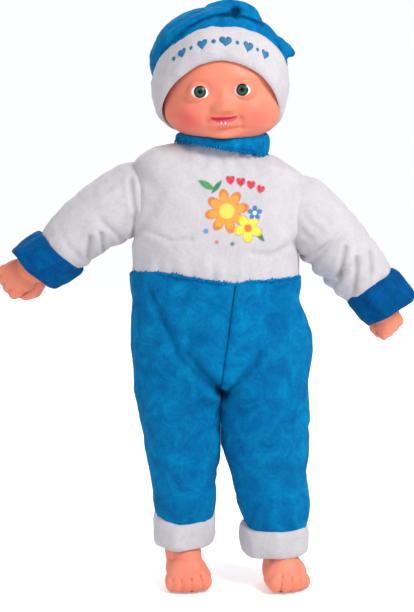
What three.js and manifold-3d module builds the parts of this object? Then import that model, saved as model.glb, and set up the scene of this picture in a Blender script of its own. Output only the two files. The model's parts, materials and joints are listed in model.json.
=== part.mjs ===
// Soft-bodied interactive baby doll, standing. Millimetres, +Z up, face towards -Y.
// The doll's own right side is -X and its own left side is +X.
import * as THREE from "three";
import { mergeVertices } from "three/addons/utils/BufferGeometryUtils.js";
import Module from "manifold-3d";

const wasm = await Module();
wasm.setup();

// Driving dimensions.
const HEAD_X = 1; // head and neck axis
const HEAD_Z = 427; // middle of the skull
const HEAD_WALL = 3.4; // moulded vinyl
const NECK_END = 372; // top of the cloth neck
const EYE_R = 10.5;
const EYE_X = 18.1;
const IRIS_R = 5;
const HAT_TILT = 33; // degrees the cap's rim slopes down to the nape
const RIM_LOW = -16;
const RIM_HIGH = 17;
const RIM_THICK = 9.6;
const SHOULDER_R = 30.5;
const ARM_END = 96; // shoulder centre to the end of the sleeve
const HIP_Z = 197;
const HIP_R = 37.5;
const LEG_END = 40; // height of the trouser leg's lower end
const FOOT_DROP = 9.5; // depth of the soles below the drawing's zero
const WAIST_Z = 256;
const GAP = 0.4;
const PLUG_CLEAR = 0.7; // vinyl plug to the cloth tied round it
const SKIN = 0xf79e80;
const WHITE = 0xe2dfe6;
const BLUE = 0x0a74c4;
const DEEP_BLUE = 0x0a5aa6;
const SHELL = 0xe9e7df;
const STEEL = 0xb9bcc0;
const DEG = Math.PI / 180;

// A closed manifold solid from a three.js geometry, facing out.
function solid(geometry) {
  const g = (geometry.index ? geometry.toNonIndexed() : geometry.clone());
  g.deleteAttribute("normal");
  g.deleteAttribute("uv");
  const merged = mergeVertices(g, 1e-4);
  const index = Array.from(merged.index.array);
  const tris = [];
  for (let i = 0; i < index.length; i += 3) {
    const [a, b, c] = index.slice(i, i + 3);
    if (a !== b && b !== c && a !== c) tris.push(a, b, c);
  }
  const make = (list) =>
    new wasm.Manifold(
      new wasm.Mesh({
        numProp: 3,
        vertProperties: new Float32Array(merged.attributes.position.array),
        triVerts: new Uint32Array(list),
      }),
    );
  let made = make(tris);
  if (made.volume() < 0) {
    const turned = [];
    for (let i = 0; i < tris.length; i += 3) turned.push(tris[i], tris[i + 2], tris[i + 1]);
    made = make(turned);
  }
  return made;
}

// A stuffed or moulded shape through level rings: [z, centre x, centre y, half width, half depth, squareness].
function loft(rings, segments = 20, inset = 0) {
  const points = [];
  const rows = rings.map(([z, cx, cy, rx, ry, power = 2]) => {
    const a = Math.max(rx - inset, 0);
    const b = Math.max(ry - inset, 0);
    const start = points.length / 3;
    if (a < 0.01 || b < 0.01) {
      points.push(cx, cy, z);
      return { start, single: true };
    }
    for (let i = 0; i < segments; i++) {
      const t = (i / segments) * 2 * Math.PI;
      const c = Math.cos(t);
      const s = Math.sin(t);
      points.push(cx + a * Math.sign(c) * Math.abs(c) ** (2 / power));
      points.push(cy + b * Math.sign(s) * Math.abs(s) ** (2 / power), z);
    }
    return { start, single: false, middle: [cx, cy, z] };
  });
  const faces = [];
  const at = (row, i) => (row.single ? row.start : row.start + (i % segments));
  rows.slice(1).forEach((upper, k) => {
    const lower = rows[k];
    for (let i = 0; i < segments; i++) {
      if (!lower.single) faces.push(at(lower, i), at(lower, i + 1), at(upper, i + 1));
      if (!upper.single) faces.push(at(lower, i), at(upper, i + 1), at(upper, i));
    }
  });
  [rows[0], rows[rows.length - 1]].forEach((row, top) => {
    if (row.single) return;
    const middle = points.length / 3;
    points.push(...row.middle);
    for (let i = 0; i < segments; i++) {
      if (top) faces.push(middle, at(row, i), at(row, i + 1));
      else faces.push(middle, at(row, i + 1), at(row, i));
    }
  });
  const g = new THREE.BufferGeometry();
  g.setAttribute("position", new THREE.Float32BufferAttribute(points, 3));
  g.setIndex(faces);
  return solid(g);
}

// A turned shape about Z from [radius, height] pairs; a profile off the axis closes on itself.
function turned(profile, segments = 20) {
  const points = profile.map(([r, z]) => new THREE.Vector2(r, z));
  if (profile[0][0] > 0) points.push(points[0].clone());
  return solid(new THREE.LatheGeometry(points, segments).rotateX(Math.PI / 2));
}

const box = (w, d, h, x = 0, y = 0, z = 0) =>
  solid(new THREE.BoxGeometry(w, d, h).translate(x, y, z));

const ball = (r, x = 0, y = 0, z = 0, sx = 1, sy = 1, sz = 1, n = 14) =>
  solid(new THREE.SphereGeometry(r, n, Math.round(n * 0.6)).scale(sx, sy, sz).translate(x, y, z));

const rod = (r, low, high, x = 0, y = 0, n = 14) =>
  turned([[0, low], [r, low], [r, high], [0, high]], n).translate([x, y, 0]);

// A plate with rounded corners in the XY plane, from low to high along Z.
function plate(w, h, radius, low, high, x = 0, y = 0, curveSegments = 2) {
  const s = new THREE.Shape();
  const a = w / 2 - radius;
  const b = h / 2 - radius;
  s.absarc(a, b, radius, 0, Math.PI / 2);
  s.absarc(-a, b, radius, Math.PI / 2, Math.PI);
  s.absarc(-a, -b, radius, Math.PI, 1.5 * Math.PI);
  s.absarc(a, -b, radius, 1.5 * Math.PI, 2 * Math.PI);
  const g = new THREE.ExtrudeGeometry(s, { depth: high - low, bevelEnabled: false, curveSegments });
  return solid(g.translate(x, y, low));
}

// A bar or coil of round wire along a path.
function wire(path, r, steps, sides = 5) {
  const s = new THREE.Shape();
  s.absarc(0, 0, r, 0, 2 * Math.PI);
  const g = new THREE.ExtrudeGeometry(s, { steps, extrudePath: path, curveSegments: sides });
  return solid(g);
}

function coil(radius, length, turns, r, perTurn = 9) {
  const points = [];
  for (let i = 0; i <= turns * perTurn; i++) {
    const t = (i / perTurn) * 2 * Math.PI;
    const z = r + ((length - 2 * r) * i) / (turns * perTurn);
    points.push(new THREE.Vector3(radius * Math.cos(t), radius * Math.sin(t), z));
  }
  return wire(new THREE.CatmullRomCurve3(points), r, turns * perTurn, 4);
}

const doll = new THREE.Group();
doll.name = "interactive_baby_doll";

function add(group, name, made, color, options = {}) {
  const m = made.getMesh();
  const n = m.numProp;
  const v = new Float32Array(m.numVert * 3);
  for (let i = 0; i < m.numVert; i++) v.set(m.vertProperties.subarray(i * n, i * n + 3), i * 3);
  const g = new THREE.BufferGeometry();
  g.setAttribute("position", new THREE.BufferAttribute(v, 3));
  g.setIndex(new THREE.BufferAttribute(new Uint32Array(m.triVerts), 1));
  g.computeVertexNormals();
  const material = new THREE.MeshStandardMaterial({ color, roughness: 0.8, flatShading: true, ...options });
  const mesh = new THREE.Mesh(g, material);
  mesh.name = name;
  group.add(mesh);
  return mesh;
}

function groupAt(x, y, z, parent = doll) {
  const g = new THREE.Group();
  g.position.set(x, y, z);
  parent.add(g);
  return g;
}

// The plug of a vinyl piece: flange, tie groove and shoulder, hanging down from the end plane z = 0 of
// the cloth it is tied into. The same profile with a clearance cuts the cloth.
const plugProfile = (r, groove, foot, clear = 0) => [
  [0, -14 - clear],
  [r + clear, -14 - clear],
  [r + clear, -8 + clear],
  [groove + clear, -8 + clear],
  [groove + clear, -3.5 - clear],
  [r + clear, -3.5 - clear],
  [r + clear, foot],
  [0, foot],
];

// Cloth gathered round a plug ends in a neck that a tie pulls into the groove.
const tie = (inner, outer) => turned([[inner, -7.4], [outer, -7.4], [outer, -4.2], [inner, -4.2]], 14);

// A hemmed ring of cloth with rounded edges.
function cuffRing(inner, outer, low, high, segments = 16) {
  const e = (outer - inner) * 0.45;
  return turned([
    [inner, low], [outer - e, low], [outer, low + e], [outer, high - e], [outer - e, high], [inner, high],
  ], segments);
}

// ---- Body ----
const bodyRings = [
  [WAIST_Z + 0.2, 0, 0, 71.5, 45.5], [275, 0, 0, 72.5, 45], [295, 0, 0, 73, 44], [315, 0, 0, 72.5, 42],
  [335, 0, 0, 71.5, 39], [345, 0, 0, 68, 36], [352, 0, 0, 60, 33], [357, 0, 0, 48, 29.5],
  [360, HEAD_X, 0, 26, 26], [NECK_END, HEAD_X, 0, 25, 25],
];
const hipRings = [
  [192, 0, 0, 71, 40.5], [200, 0, 0, 75, 43.5], [213, 0, 0, 76, 45], [230, 0, 0, 75.5, 46],
  [245, 0, 0, 74, 46], [WAIST_Z - 0.2, 0, 0, 71.5, 45.5],
];
const shoulders = {
  right: { side: -1, x: -70, z: 328, slope: 34.2, lower: 14, raise: 60 },
  left: { side: 1, x: 70, z: 316, slope: 47.8, lower: 8, raise: 70 },
};

// The space an arm sweeps beside the chest, from its lowest to its highest angle.
function armhole({ side, x, z, slope, lower, raise }) {
  const r = SHOULDER_R + 0.9;
  const low = -(slope + lower) * DEG;
  const high = (raise - slope) * DEG;
  const dir = (a) => [Math.cos(a), Math.sin(a)];
  const s = new THREE.Shape();
  const under = low - Math.PI / 2;
  const over = high + Math.PI / 2 - 2 * Math.PI;
  const points = [];
  for (let i = 0; i <= 12; i++) {
    const [c, d] = dir(under + ((over - under) * i) / 12);
    points.push([r * c, r * d]);
  }
  const last = points[points.length - 1];
  points.push([last[0] + 120 * dir(high)[0], last[1] + 120 * dir(high)[1]]);
  points.push([points[0][0] + 120 * dir(low)[0], points[0][1] + 120 * dir(low)[1]]);
  points.forEach(([u, v], i) => (i ? s.lineTo(u, v) : s.moveTo(u, v)));
  s.closePath();
  const g = new THREE.ExtrudeGeometry(s, { depth: 120, bevelEnabled: false });
  g.translate(0, 0, -60).rotateX(Math.PI / 2).scale(side, 1, 1).translate(x, 0, z);
  return solid(g);
}

// The space the thighs sweep below the hips, from leaning back to sitting.
function hipChannel() {
  const r = HIP_R + 0.9;
  const back = 10 * DEG;
  const front = 85 * DEG;
  const s = new THREE.Shape();
  const points = [];
  for (let i = 0; i <= 12; i++) {
    const a = back + ((Math.PI - (Math.PI / 2 - front) * -1 - back - Math.PI / 2) * i) / 12;
    points.push([r * Math.cos(a), r * Math.sin(a)]);
  }
  const last = points[points.length - 1];
  points.push([last[0] - 120 * Math.sin(front), last[1] - 120 * Math.cos(front)]);
  points.push([-150, -100]);
  points.push([points[0][0] + 100 * Math.sin(back), points[0][1] - 100 * Math.cos(back)]);
  points.forEach(([u, v], i) => (i ? s.lineTo(u, v) : s.moveTo(u, v)));
  s.closePath();
  const g = new THREE.ExtrudeGeometry(s, { depth: 200, bevelEnabled: false });
  g.translate(0, 0, -100).rotateY(Math.PI / 2).rotateX(Math.PI / 2);
  return solid(g.translate(0, 0, HIP_Z));
}

const BOX_W = 56; // sound box
const BOX_H = 70;
const BOX_BACK = -16;
const BOX_FRONT = 16;
const BOX_Y = 6;
const BOX_Z = 306;
const FLAP_LOW = 258.8;
const FLAP_HIGH = 345;
const FLAP_W = 66;

const neckCut = turned(plugProfile(20, 17, 1, PLUG_CLEAR), 20).translate([HEAD_X, 0, NECK_END]);
const neckGather = turned([[22, -3.9], [40, -3.9], [40, -8.1], [22, -8.1]], 20).translate([HEAD_X, 0, NECK_END]);
const flapPrism = (w, low, high) => box(w, 60, high - low, 0, 40, (low + high) / 2);
const pocket = box(BOX_W + 3, 80, BOX_H + 3, 0, 40 - 17, BOX_Z);
let upper = loft(bodyRings, 20);
upper = upper.subtract(neckCut).subtract(neckGather);
upper = upper.subtract(armhole(shoulders.right)).subtract(armhole(shoulders.left));
upper = upper.subtract(flapPrism(FLAP_W + 1, FLAP_LOW - 0.5, FLAP_HIGH + 0.5).subtract(loft(bodyRings, 20, 5.6)));
upper = upper.subtract(pocket);
add(doll, "upper_body", upper, WHITE);
add(doll, "lower_body", loft(hipRings, 20).subtract(hipChannel()), BLUE);

const band = (outer, inner, w, low, high) =>
  flapPrism(w, low, high).intersect(loft(bodyRings, 20, outer).subtract(loft(bodyRings, 20, inner)));
add(doll, "back_flap", band(0.01, 3, FLAP_W, FLAP_LOW, FLAP_HIGH), WHITE);
add(doll, "hook_strip", band(3.3, 4.1, FLAP_W - 12, FLAP_LOW + 1.5, FLAP_LOW + 8.5), 0xf4f4f4);
add(doll, "loop_strip", band(4.5, 5.3, FLAP_W - 12, FLAP_LOW + 1.5, FLAP_LOW + 8.5), 0xf4f4f4);

const neck = groupAt(HEAD_X, 0, NECK_END);
add(neck, "neck_tie", tie(22.8, 25), 0xf0f0f0);
add(neck, "collar", cuffRing(27, 41, -15, 4.2, 16).scale([1, 0.92, 1]).subtract(
  loft(bodyRings.map((r) => [r[0] - NECK_END, r[1] - HEAD_X, r[2], r[3] + 0.5, r[4] + 0.5]), 20)), BLUE);

// ---- Head ----
const skullRings = [
  [377.2, 2, -20, 0, 0], [378.4, 2, -19, 15, 12], [381, 2, -15, 25, 22], [388, 1, -9, 38, 33],
  [396, 1, -6, 46.5, 40.5], [406, 1, -3, 50, 46.5], [416, 1, -1, 50.4, 50], [428, 1, 0, 50.2, 52.5],
  [440, 1, 0.5, 49, 51.5], [452, 1, 0.5, 44.5, 46.5], [463, 1, 1, 35.5, 38.5], [471, 1, 2, 25, 29],
  [476, 1, 2, 13.5, 16], [477.8, 1, 2, 0, 0],
];
const eyes = [
  { name: "right", x: -EYE_X, z: 416.9 },
  { name: "left", x: EYE_X, z: 418.6 },
];
const EYE_Y = -40.6;
let head = loft(skullRings, 22).subtract(rod(26.5, 370, 377.6, HEAD_X, 0, 16));
head = head.add(ball(5.6, 3, -50.5, 408, 1.15, 1, 0.9, 8));
head = head.add(turned(plugProfile(20, 17, 12), 16).translate([HEAD_X, 0, NECK_END]));
const inner = skullRings.map(([z, x, y, a, b]) => [
  HEAD_Z + (z - HEAD_Z) * 0.93, x, y, Math.max(a - HEAD_WALL, 0), Math.max(b - HEAD_WALL, 0),
]);
head = head.subtract(loft(inner.slice(1), 16));
head = head.subtract(rod(13.5, 350, 392, HEAD_X, 0, 14));
eyes.forEach(({ x, z }) => {
  head = head.subtract(ball(EYE_R + 0.7, x, EYE_Y, z, 1, 1, 1, 12));
});
add(doll, "head_shell", head, SKIN, { roughness: 0.5 });
eyes.forEach(({ name, x, z }) => {
  const socket = groupAt(x, EYE_Y, z);
  socket.rotation.x = Math.PI / 2; // the eye's own +Z looks forward
  const white = ball(EYE_R, 0, 0, 0, 1, 1, 1, 12).subtract(rod(IRIS_R + 0.35, EYE_R - 2.2, EYE_R + 2, 0, 0, 12));
  const lens = ball(EYE_R, 0, 0, 0, 1, 1, 1, 12).intersect(rod(IRIS_R, EYE_R - 1.9, EYE_R + 2, 0, 0, 12));
  add(socket, name + "_eyeball", white, 0xf6f3ee, { roughness: 0.2 });
  add(socket, name + "_iris", lens.translate([0, 0, 0.1]), 0x3d463c, { roughness: 0.1 });
});

// ---- Stocking cap ----
const hat = groupAt(HEAD_X, 0, HEAD_Z);
hat.rotation.x = -HAT_TILT * DEG; // the cap's own +Z leans back
const CAP_X = 52.2;
const CAP_Y = 55;
const capBore = (low, high) => loft([[low, 0, 0, CAP_X, CAP_Y], [high, 0, 0, CAP_X, CAP_Y]], 22);
const rim = loft([
  [RIM_LOW, 0, 0, CAP_X + RIM_THICK * 0.55, CAP_Y + RIM_THICK * 0.5],
  [RIM_LOW + 4, 0, 0, CAP_X + RIM_THICK * 0.9, CAP_Y + RIM_THICK * 0.9],
  [0, 0, 0, CAP_X + RIM_THICK, CAP_Y + RIM_THICK],
  [RIM_HIGH - 5, 0, 0, CAP_X + RIM_THICK * 0.95, CAP_Y + RIM_THICK * 0.95],
  [RIM_HIGH, 0, 0, CAP_X + RIM_THICK * 0.6, CAP_Y + RIM_THICK * 0.6],
], 22).subtract(capBore(RIM_LOW - 5, RIM_HIGH + 5));
add(hat, "hat_brim", rim, WHITE);
const crownLow = RIM_HIGH + GAP;
let crown = loft([
  [crownLow, 0, 0, CAP_X + 6.5, CAP_Y + 6.5], [26, 0, 0, 60.5, 62], [36, 0, 0, 57, 59],
  [46, 0, 0, 51, 53], [55, 0, 0, 41, 43], [61, 1, -2, 29, 30], [65, 2, -4, 16, 17], [66.5, 2, -4, 0, 0],
], 22);
// The long end of the cap is folded over to the doll's left.
crown = crown.add(ball(20, 13, -27, 49, 1.1, 0.8, 0.75, 12));
const fold = ball(20, 0, 0, 0, 1.25, 0.85, 0.62, 12).rotate([0, 42, 0]);
crown = crown.add(fold.translate([43, -17, 33]));
crown = crown.subtract(loft([
  [crownLow - 6, 0, 0, CAP_X, CAP_Y], [27, 0, 0, CAP_X, CAP_Y], [36, 0, 0, 49, 52], [45, 0, 0, 42, 45],
  [52, 0, 0, 32, 35], [57, 0, 0, 18, 20], [58, 0, 0, 0, 0],
], 22));
// Its lowest ring stays clear of the brim all the way round.
crown = crown.subtract(rim.add(loft([[RIM_LOW, 0, 0, 80, 80], [RIM_HIGH, 0, 0, 80, 80]], 22)).translate([0, 0, GAP]));
add(hat, "hat_crown", crown, BLUE);

// ---- Arms ----
const armRings = [
  [-30.5, 0, 0, 0, 0], [-28, 0, 0, 12.5, 12], [-21, 0, 0, 22.5, 21.5], [-11, 0, 0, 28.6, 28], [0, 0, 0, 30.4, 30],
  [20, 0, 0, 30.4, 30], [45, 0, 0, 30, 29.5], [65, 0, 0, 28, 27.5], [76, 0, 0, 23, 23], [80, 0, 0, 18.6, 18.6],
  [88, 0, 0, 15.6, 15.6], [92.6, 0, 0, 15.6, 15.6], [ARM_END, 0, 0, 16.4, 16.4],
];

// A chubby hand past its wrist, its fingers curled; the tie end is at z = 0, the back faces -Y and the thumb is
// at -X times flip. Reach is below 1 for a closed fist.
function hand(flip, curl, reach) {
  const wrist = turned(plugProfile(13.2, 11, 14), 12);
  let h = ball(16, 2 * flip, 0, 22, 0.85, 1.05, 1.05, 10);
  for (let i = 0; i < 4; i++) {
    const finger = new THREE.CapsuleGeometry(4.9, 11, 2, 6).rotateX(Math.PI / 2);
    finger.rotateY(-flip * (curl + 4 * i) * DEG);
    h = h.add(solid(finger.translate(-1 * flip, -12 + 8 * i, 36 - Math.abs(i - 1.5) * 1.6)));
  }
  const thumb = new THREE.CapsuleGeometry(5, 10, 2, 6).rotateX(Math.PI / 2).rotateX(-30 * DEG);
  h = h.add(solid(thumb.rotateY(-flip * 35 * DEG).translate(-8 * flip, -14, 24)));
  h = h.intersect(box(80, 80, 60, 0, 0, 42)).translate([0, 0, -12]).scale([1, 1, reach]).translate([0, 0, 12]);
  return wrist.add(h.rotate([0, 0, -90 * flip]));
}

const joints = {};
for (const [name, { side, x, z, slope }] of Object.entries(shoulders)) {
  const arm = groupAt(x, 0, z);
  const along = new THREE.Vector3(side * Math.cos(slope * DEG), 0, -Math.sin(slope * DEG));
  arm.rotation.y = Math.atan2(along.x, along.z);
  const cut = turned(plugProfile(13.2, 11, 1, PLUG_CLEAR), 16).translate([0, 0, ARM_END]);
  add(arm, name + "_arm", loft(armRings, 16).subtract(cut), WHITE);
  const end = groupAt(0, 0, ARM_END, arm);
  add(end, name + "_wrist_tie", tie(16.3, 18.3), 0xf0f0f0);
  add(end, name + "_sleeve_cuff", cuffRing(19, 25, -15.5, 13.5), DEEP_BLUE);
  add(end, name + "_hand", hand(side < 0 ? 1 : -1, side < 0 ? 20 : 38, side < 0 ? 1 : 0.72), SKIN, { roughness: 0.5 });
  joints[name + "_shoulder"] = { pos: [x, 0, z], axis: [0, -side, 0] };
  joints[name + "_wrist"] = { pos: [x + along.x * ARM_END, 0, z + along.z * ARM_END], axis: along.toArray() };
}

// ---- Legs ----
// Thigh and ankle middles, and how far the foot is turned out.
const legs = {
  right: { side: -1, hip: -37.4, ankle: -31, knee: -35, turn: 4, rise: 0 },
  left: { side: 1, hip: 38.2, ankle: 48.5, knee: 41.5, turn: 20, rise: -3 },
};

// A bare foot below its ankle: flat sole, toes towards -Y, big toe on the +X side.
function foot() {
  let f = ball(20, 0, -4, 9, 0.98, 1.35, 0.72, 12);
  f = f.add(ball(14, 0, 8, 10, 1.1, 1.05, 0.95, 8));
  const toes = [[11.5, -25.5, 7], [3, -30, 5.6], [-4.5, -29.5, 5.2], [-11, -26.5, 5], [-16, -21.5, 4.6]];
  toes.forEach(([x, y, r]) => {
    f = f.add(ball(r, x, y, 6.2, 1, 1.35, 1, 6));
  });
  f = f.intersect(box(80, 100, 22.6, 0, 0, 11.3)).scale([1, 1, 1 + FOOT_DROP / 22.6]).translate([0, 0, -FOOT_DROP]);
  return f.add(turned([
    [0, 8], [16.5, 8], [14.4, LEG_END - 2], [14.4, LEG_END + 3.5], [12, LEG_END + 3.5], [12, LEG_END + 8],
    [14.4, LEG_END + 8], [14.4, LEG_END + 14], [0, LEG_END + 14],
  ], 10));
}

for (const [name, { side, hip, ankle, knee, turn }] of Object.entries(legs)) {
  const leg = groupAt(0, 0, 0);
  const w = 36.2;
  const top = [];
  for (let a = 0; a <= 75; a += 15) {
    const c = Math.cos(a * DEG);
    top.push([HIP_Z + HIP_R * Math.sin(a * DEG), hip, 0, w * c ** 0.35, HIP_R * c, 2.2]);
  }
  const rings = [
    [LEG_END, ankle, 0, 17.8, 17.8], [43.4, ankle, 0, 17, 17], [48, ankle, 0, 17, 17],
    [53, ankle, 0, 19.6, 19.6], [55.5, ankle, 0, 23, 23], [60, ankle, 0, 26.5, 27], [75, (ankle + knee) / 2, 0, 28, 29],
    [95, knee, 0, 31, 32], [120, (knee + hip) / 2, 0, 34, 35], [150, hip, 0, 35.8, 37, 2.1],
    [178, hip, 0, w, HIP_R, 2.2], ...top, [HIP_Z + HIP_R, hip, 0, 0, 0],
  ];
  const cut = turned(plugProfile(14.6, 12, 1, PLUG_CLEAR), 16).mirror([0, 0, 1]).translate([ankle, 0, LEG_END]);
  add(leg, name + "_leg", loft(rings, 16).subtract(cut), BLUE);
  const end = groupAt(ankle, 0, LEG_END, leg);
  add(end, name + "_ankle_tie", tie(17.9, 19.7).mirror([0, 0, 1]), 0xf0f0f0);
  add(end, name + "_trouser_cuff", cuffRing(20.4, 26.6, -14, 13), WHITE);
  const ankleGroup = groupAt(ankle, 0, 0, leg);
  ankleGroup.rotation.z = side * turn * DEG;
  const sole = foot();
  add(ankleGroup, name + "_foot", side < 0 ? sole : sole.mirror([1, 0, 0]), SKIN, { roughness: 0.5 });
  joints[name + "_hip"] = { pos: [hip, 0, HIP_Z], axis: [-1, 0, 0] };
  joints[name + "_ankle"] = { pos: [ankle, 0, LEG_END], axis: [0, 0, side] };
}

// ---- Sound box: its own +Y is up and +Z is forward ----
const sound = groupAt(0, BOX_Y, BOX_Z);
sound.rotation.x = Math.PI / 2;
const SPLIT = 2;
const POST_X = 23.6;
const POST_Y = 30.6;
const corners = [[-POST_X, POST_Y], [POST_X, POST_Y], [-POST_X, -POST_Y], [POST_X, -POST_Y]];
const BUTTON_Y = 19;
const SPEAKER_Y = -13;
const BAY_LOW = -28;
const BAY_HIGH = 23.5;

let front = plate(BOX_W, BOX_H, 7, SPLIT + 0.2, BOX_FRONT);
front = front.subtract(plate(BOX_W - 4, BOX_H - 4, 5, SPLIT - 1, BOX_FRONT - 2));
corners.forEach(([x, y]) => {
  front = front.add(rod(2.6, SPLIT + 0.2, BOX_FRONT - 1.5, x, y, 8).subtract(rod(1.5, SPLIT - 1, 11, x, y, 8)));
});
front = front.subtract(rod(11.4, BOX_FRONT - 3, BOX_FRONT + 1, 0, BUTTON_Y, 20));
for (let i = -2; i <= 2; i++) {
  front = front.subtract(plate(2.4, 26 - 5 * Math.abs(i), 1.1, BOX_FRONT - 3, BOX_FRONT + 1, i * 5, SPEAKER_Y, 1));
}
add(sound, "case_front", front, SHELL, { roughness: 0.4 });

let rear = plate(BOX_W, BOX_H, 7, BOX_BACK, SPLIT - 0.2);
rear = rear.subtract(box(38, BAY_HIGH - BAY_LOW, 30, 0, (BAY_LOW + BAY_HIGH) / 2, BOX_BACK + 13.6 - 15));
rear = rear.subtract(plate(44.8, 61, 3, BOX_BACK - 1, BOX_BACK + 2.2, 0, -1));
rear = rear.subtract(rod(1.7, BOX_BACK, BOX_BACK + 12, 0, 26.2, 12));
corners.forEach(([x, y]) => {
  rear = rear.subtract(rod(1.5, BOX_BACK - 1, SPLIT + 1, x, y, 8));
  rear = rear.subtract(rod(2.8, BOX_BACK - 1, BOX_BACK + 5, x, y, 10));
});
rear = rear.subtract(box(12, 2.9, 6, 0, 31.6, BOX_BACK)).subtract(box(16, 4.4, 40, 0, 31.6, BOX_BACK + 1.9 + 20));
[-1, 1].forEach((s) => {
  rear = rear.subtract(box(3.4, 44, 12, s * 23.3, -1, SPLIT - 6));
});
add(sound, "case_rear", rear, SHELL, { roughness: 0.4 });
add(sound, "battery_cover", plate(44, 60.2, 2.6, BOX_BACK + 0.2, BOX_BACK + 2, 0, -1)
  .subtract(rod(1.7, BOX_BACK - 1, BOX_BACK + 3, 0, 26.2, 12)), 0xdedbd2, { roughness: 0.4 });

const screw = (headR, headHigh, shaftR, length) =>
  turned([[0, 0], [headR, 0], [headR, headHigh], [shaftR, headHigh], [shaftR, length], [0, length]], 10)
    .subtract(box(0.7, headR * 1.3, 1.4)).subtract(box(headR * 1.3, 0.7, 1.4));
add(sound, "cover_screw", screw(2.6, 1.4, 1.25, 12).translate([0, 26.2, BOX_BACK - 1.5]), STEEL);
corners.forEach(([x, y], i) => {
  add(sound, "case_screw_" + (i + 1), screw(2.3, 1.8, 1.1, 21).translate([x, y, BOX_BACK + 2.9]), STEEL);
});

// Three cells side by side, turned end for end in the middle.
const CELL_R = 5.2;
const CELL_Z = BOX_BACK + 7.9;
for (let i = 0; i < 3; i++) {
  const up = i === 1 ? -1 : 1; // which end is positive
  const middle = (BAY_LOW + BAY_HIGH) / 2;
  const cell = turned([[0, -22.2], [CELL_R, -22.2], [CELL_R, 21.4], [1.9, 21.4], [1.9, 22.3], [0, 22.3]], 14);
  const bay = groupAt((i - 1) * 11.6, middle, CELL_Z, sound);
  bay.rotation.x = -up * Math.PI / 2; // the cell's own +Z is its positive end
  add(bay, "battery_" + (i + 1), cell.translate([0, 0, 1.6]), i === 1 ? 0x2f3236 : 0x3a3d42, { roughness: 0.35 });
  add(bay, "battery_spring_" + (i + 1), coil(3, 4.2, 2, 0.45, 8).translate([0, 0, -25.3]), STEEL);
  add(bay, "contact_plate_" + (i + 1), box(8, 8, 0.5, 0, 0, 24.9), STEEL, { metalness: 0.8 });
}

const BOARD_Z = 4.6;
add(sound, "circuit_board", plate(48, 17, 1.5, BOARD_Z, BOARD_Z + 1.5, 0, BUTTON_Y), 0x2c6b3c);
add(sound, "tact_switch", box(6, 6, 2.4, 0, BUTTON_Y, BOARD_Z + 3).add(rod(1.6, BOARD_Z + 3, BOARD_Z + 5, 0, BUTTON_Y, 10)),
  0x2a2a2a);
add(sound, "sound_chip", ball(4, 17, BUTTON_Y, BOARD_Z + 1.8, 1, 1, 0.45, 10)
  .subtract(box(20, 20, 10, 17, BUTTON_Y, BOARD_Z + 1.8 - 5)), 0x1c1c1c);
const KEY_LOW = BOX_FRONT - 4.2;
add(sound, "press_button", turned([
  [0, KEY_LOW], [13, KEY_LOW], [13, KEY_LOW + 1.6], [11, KEY_LOW + 1.6], [11, BOX_FRONT + 3.4],
  [9.6, BOX_FRONT + 4.6], [0, BOX_FRONT + 5.2],
], 20).translate([0, BUTTON_Y, 0]), 0xd8402f, { roughness: 0.4 });
add(sound, "button_spring", coil(6.2, KEY_LOW - 0.3 - BOARD_Z - 1.8, 2, 0.4, 8)
  .translate([0, BUTTON_Y, BOARD_Z + 1.8]), STEEL);

add(sound, "speaker_frame", turned([
  [9, SPLIT + 1.6], [10, SPLIT + 1.6], [18.4, 9], [18.4, BOX_FRONT - 2.3], [16.6, BOX_FRONT - 2.3], [16.6, 10], [9, SPLIT + 3.6],
], 20).translate([0, SPEAKER_Y, 0]), 0x55595e, { metalness: 0.6 });
add(sound, "speaker_cone", turned([
  [0, 9.4], [4, 9.4], [14, 12], [16, 12], [16, 12.8], [14, 13], [4, 10.4], [0, 10.4],
], 18).translate([0, SPEAKER_Y, 0]), 0x2b2b2b);
add(sound, "speaker_magnet", rod(8, SPLIT + 0.9, 8.6, 0, SPEAKER_Y, 16), 0x6d7176, { metalness: 0.6 });

add(sound, "switch_body", box(13, 3.6, 5, 0, 31.6, BOX_BACK + 5.2), 0x222222);
add(sound, "switch_knob", box(6, 2.1, 3.6, -1.5, 31.6, BOX_BACK + 0.6), 0x111111);

[-1, 1].forEach((s) => {
  const path = new THREE.CatmullRomCurve3([
    [s * 23.3, 18, -8], [s * 23.3, 14, -1], [s * 23.2, 8, 3.6], [s * 21.2, 4, 7.6], [s * 20.9, -2, 8.4],
  ].map((p) => new THREE.Vector3(...p)));
  add(sound, s < 0 ? "wire_red" : "wire_black", wire(path, 0.6, 12, 4), s < 0 ? 0xb02020 : 0x151515);
});

// ---- The part's frame: floor level, under the middle of the whole doll ----
doll.updateMatrixWorld(true);
const bounds = new THREE.Box3().setFromObject(doll, true);
const middle = bounds.getCenter(new THREE.Vector3());
const shift = new THREE.Vector3(-middle.x, -middle.y, -bounds.min.z);
doll.children.forEach((child) => child.position.add(shift));
joints.head = { pos: [HEAD_X, 0, NECK_END], axis: [0, 0, 1] };
joints.hat = { pos: [HEAD_X, 0, HEAD_Z], axis: [0, Math.sin(HAT_TILT * DEG), Math.cos(HAT_TILT * DEG)] };
joints.flap = { pos: [0, 36.4, FLAP_HIGH + 0.3], axis: [1, 0, 0] };
doll.userData = { shift: shift.toArray(), joints, size: bounds.getSize(new THREE.Vector3()).toArray() };

export default doll;
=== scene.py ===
import itertools
import json
import math

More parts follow.
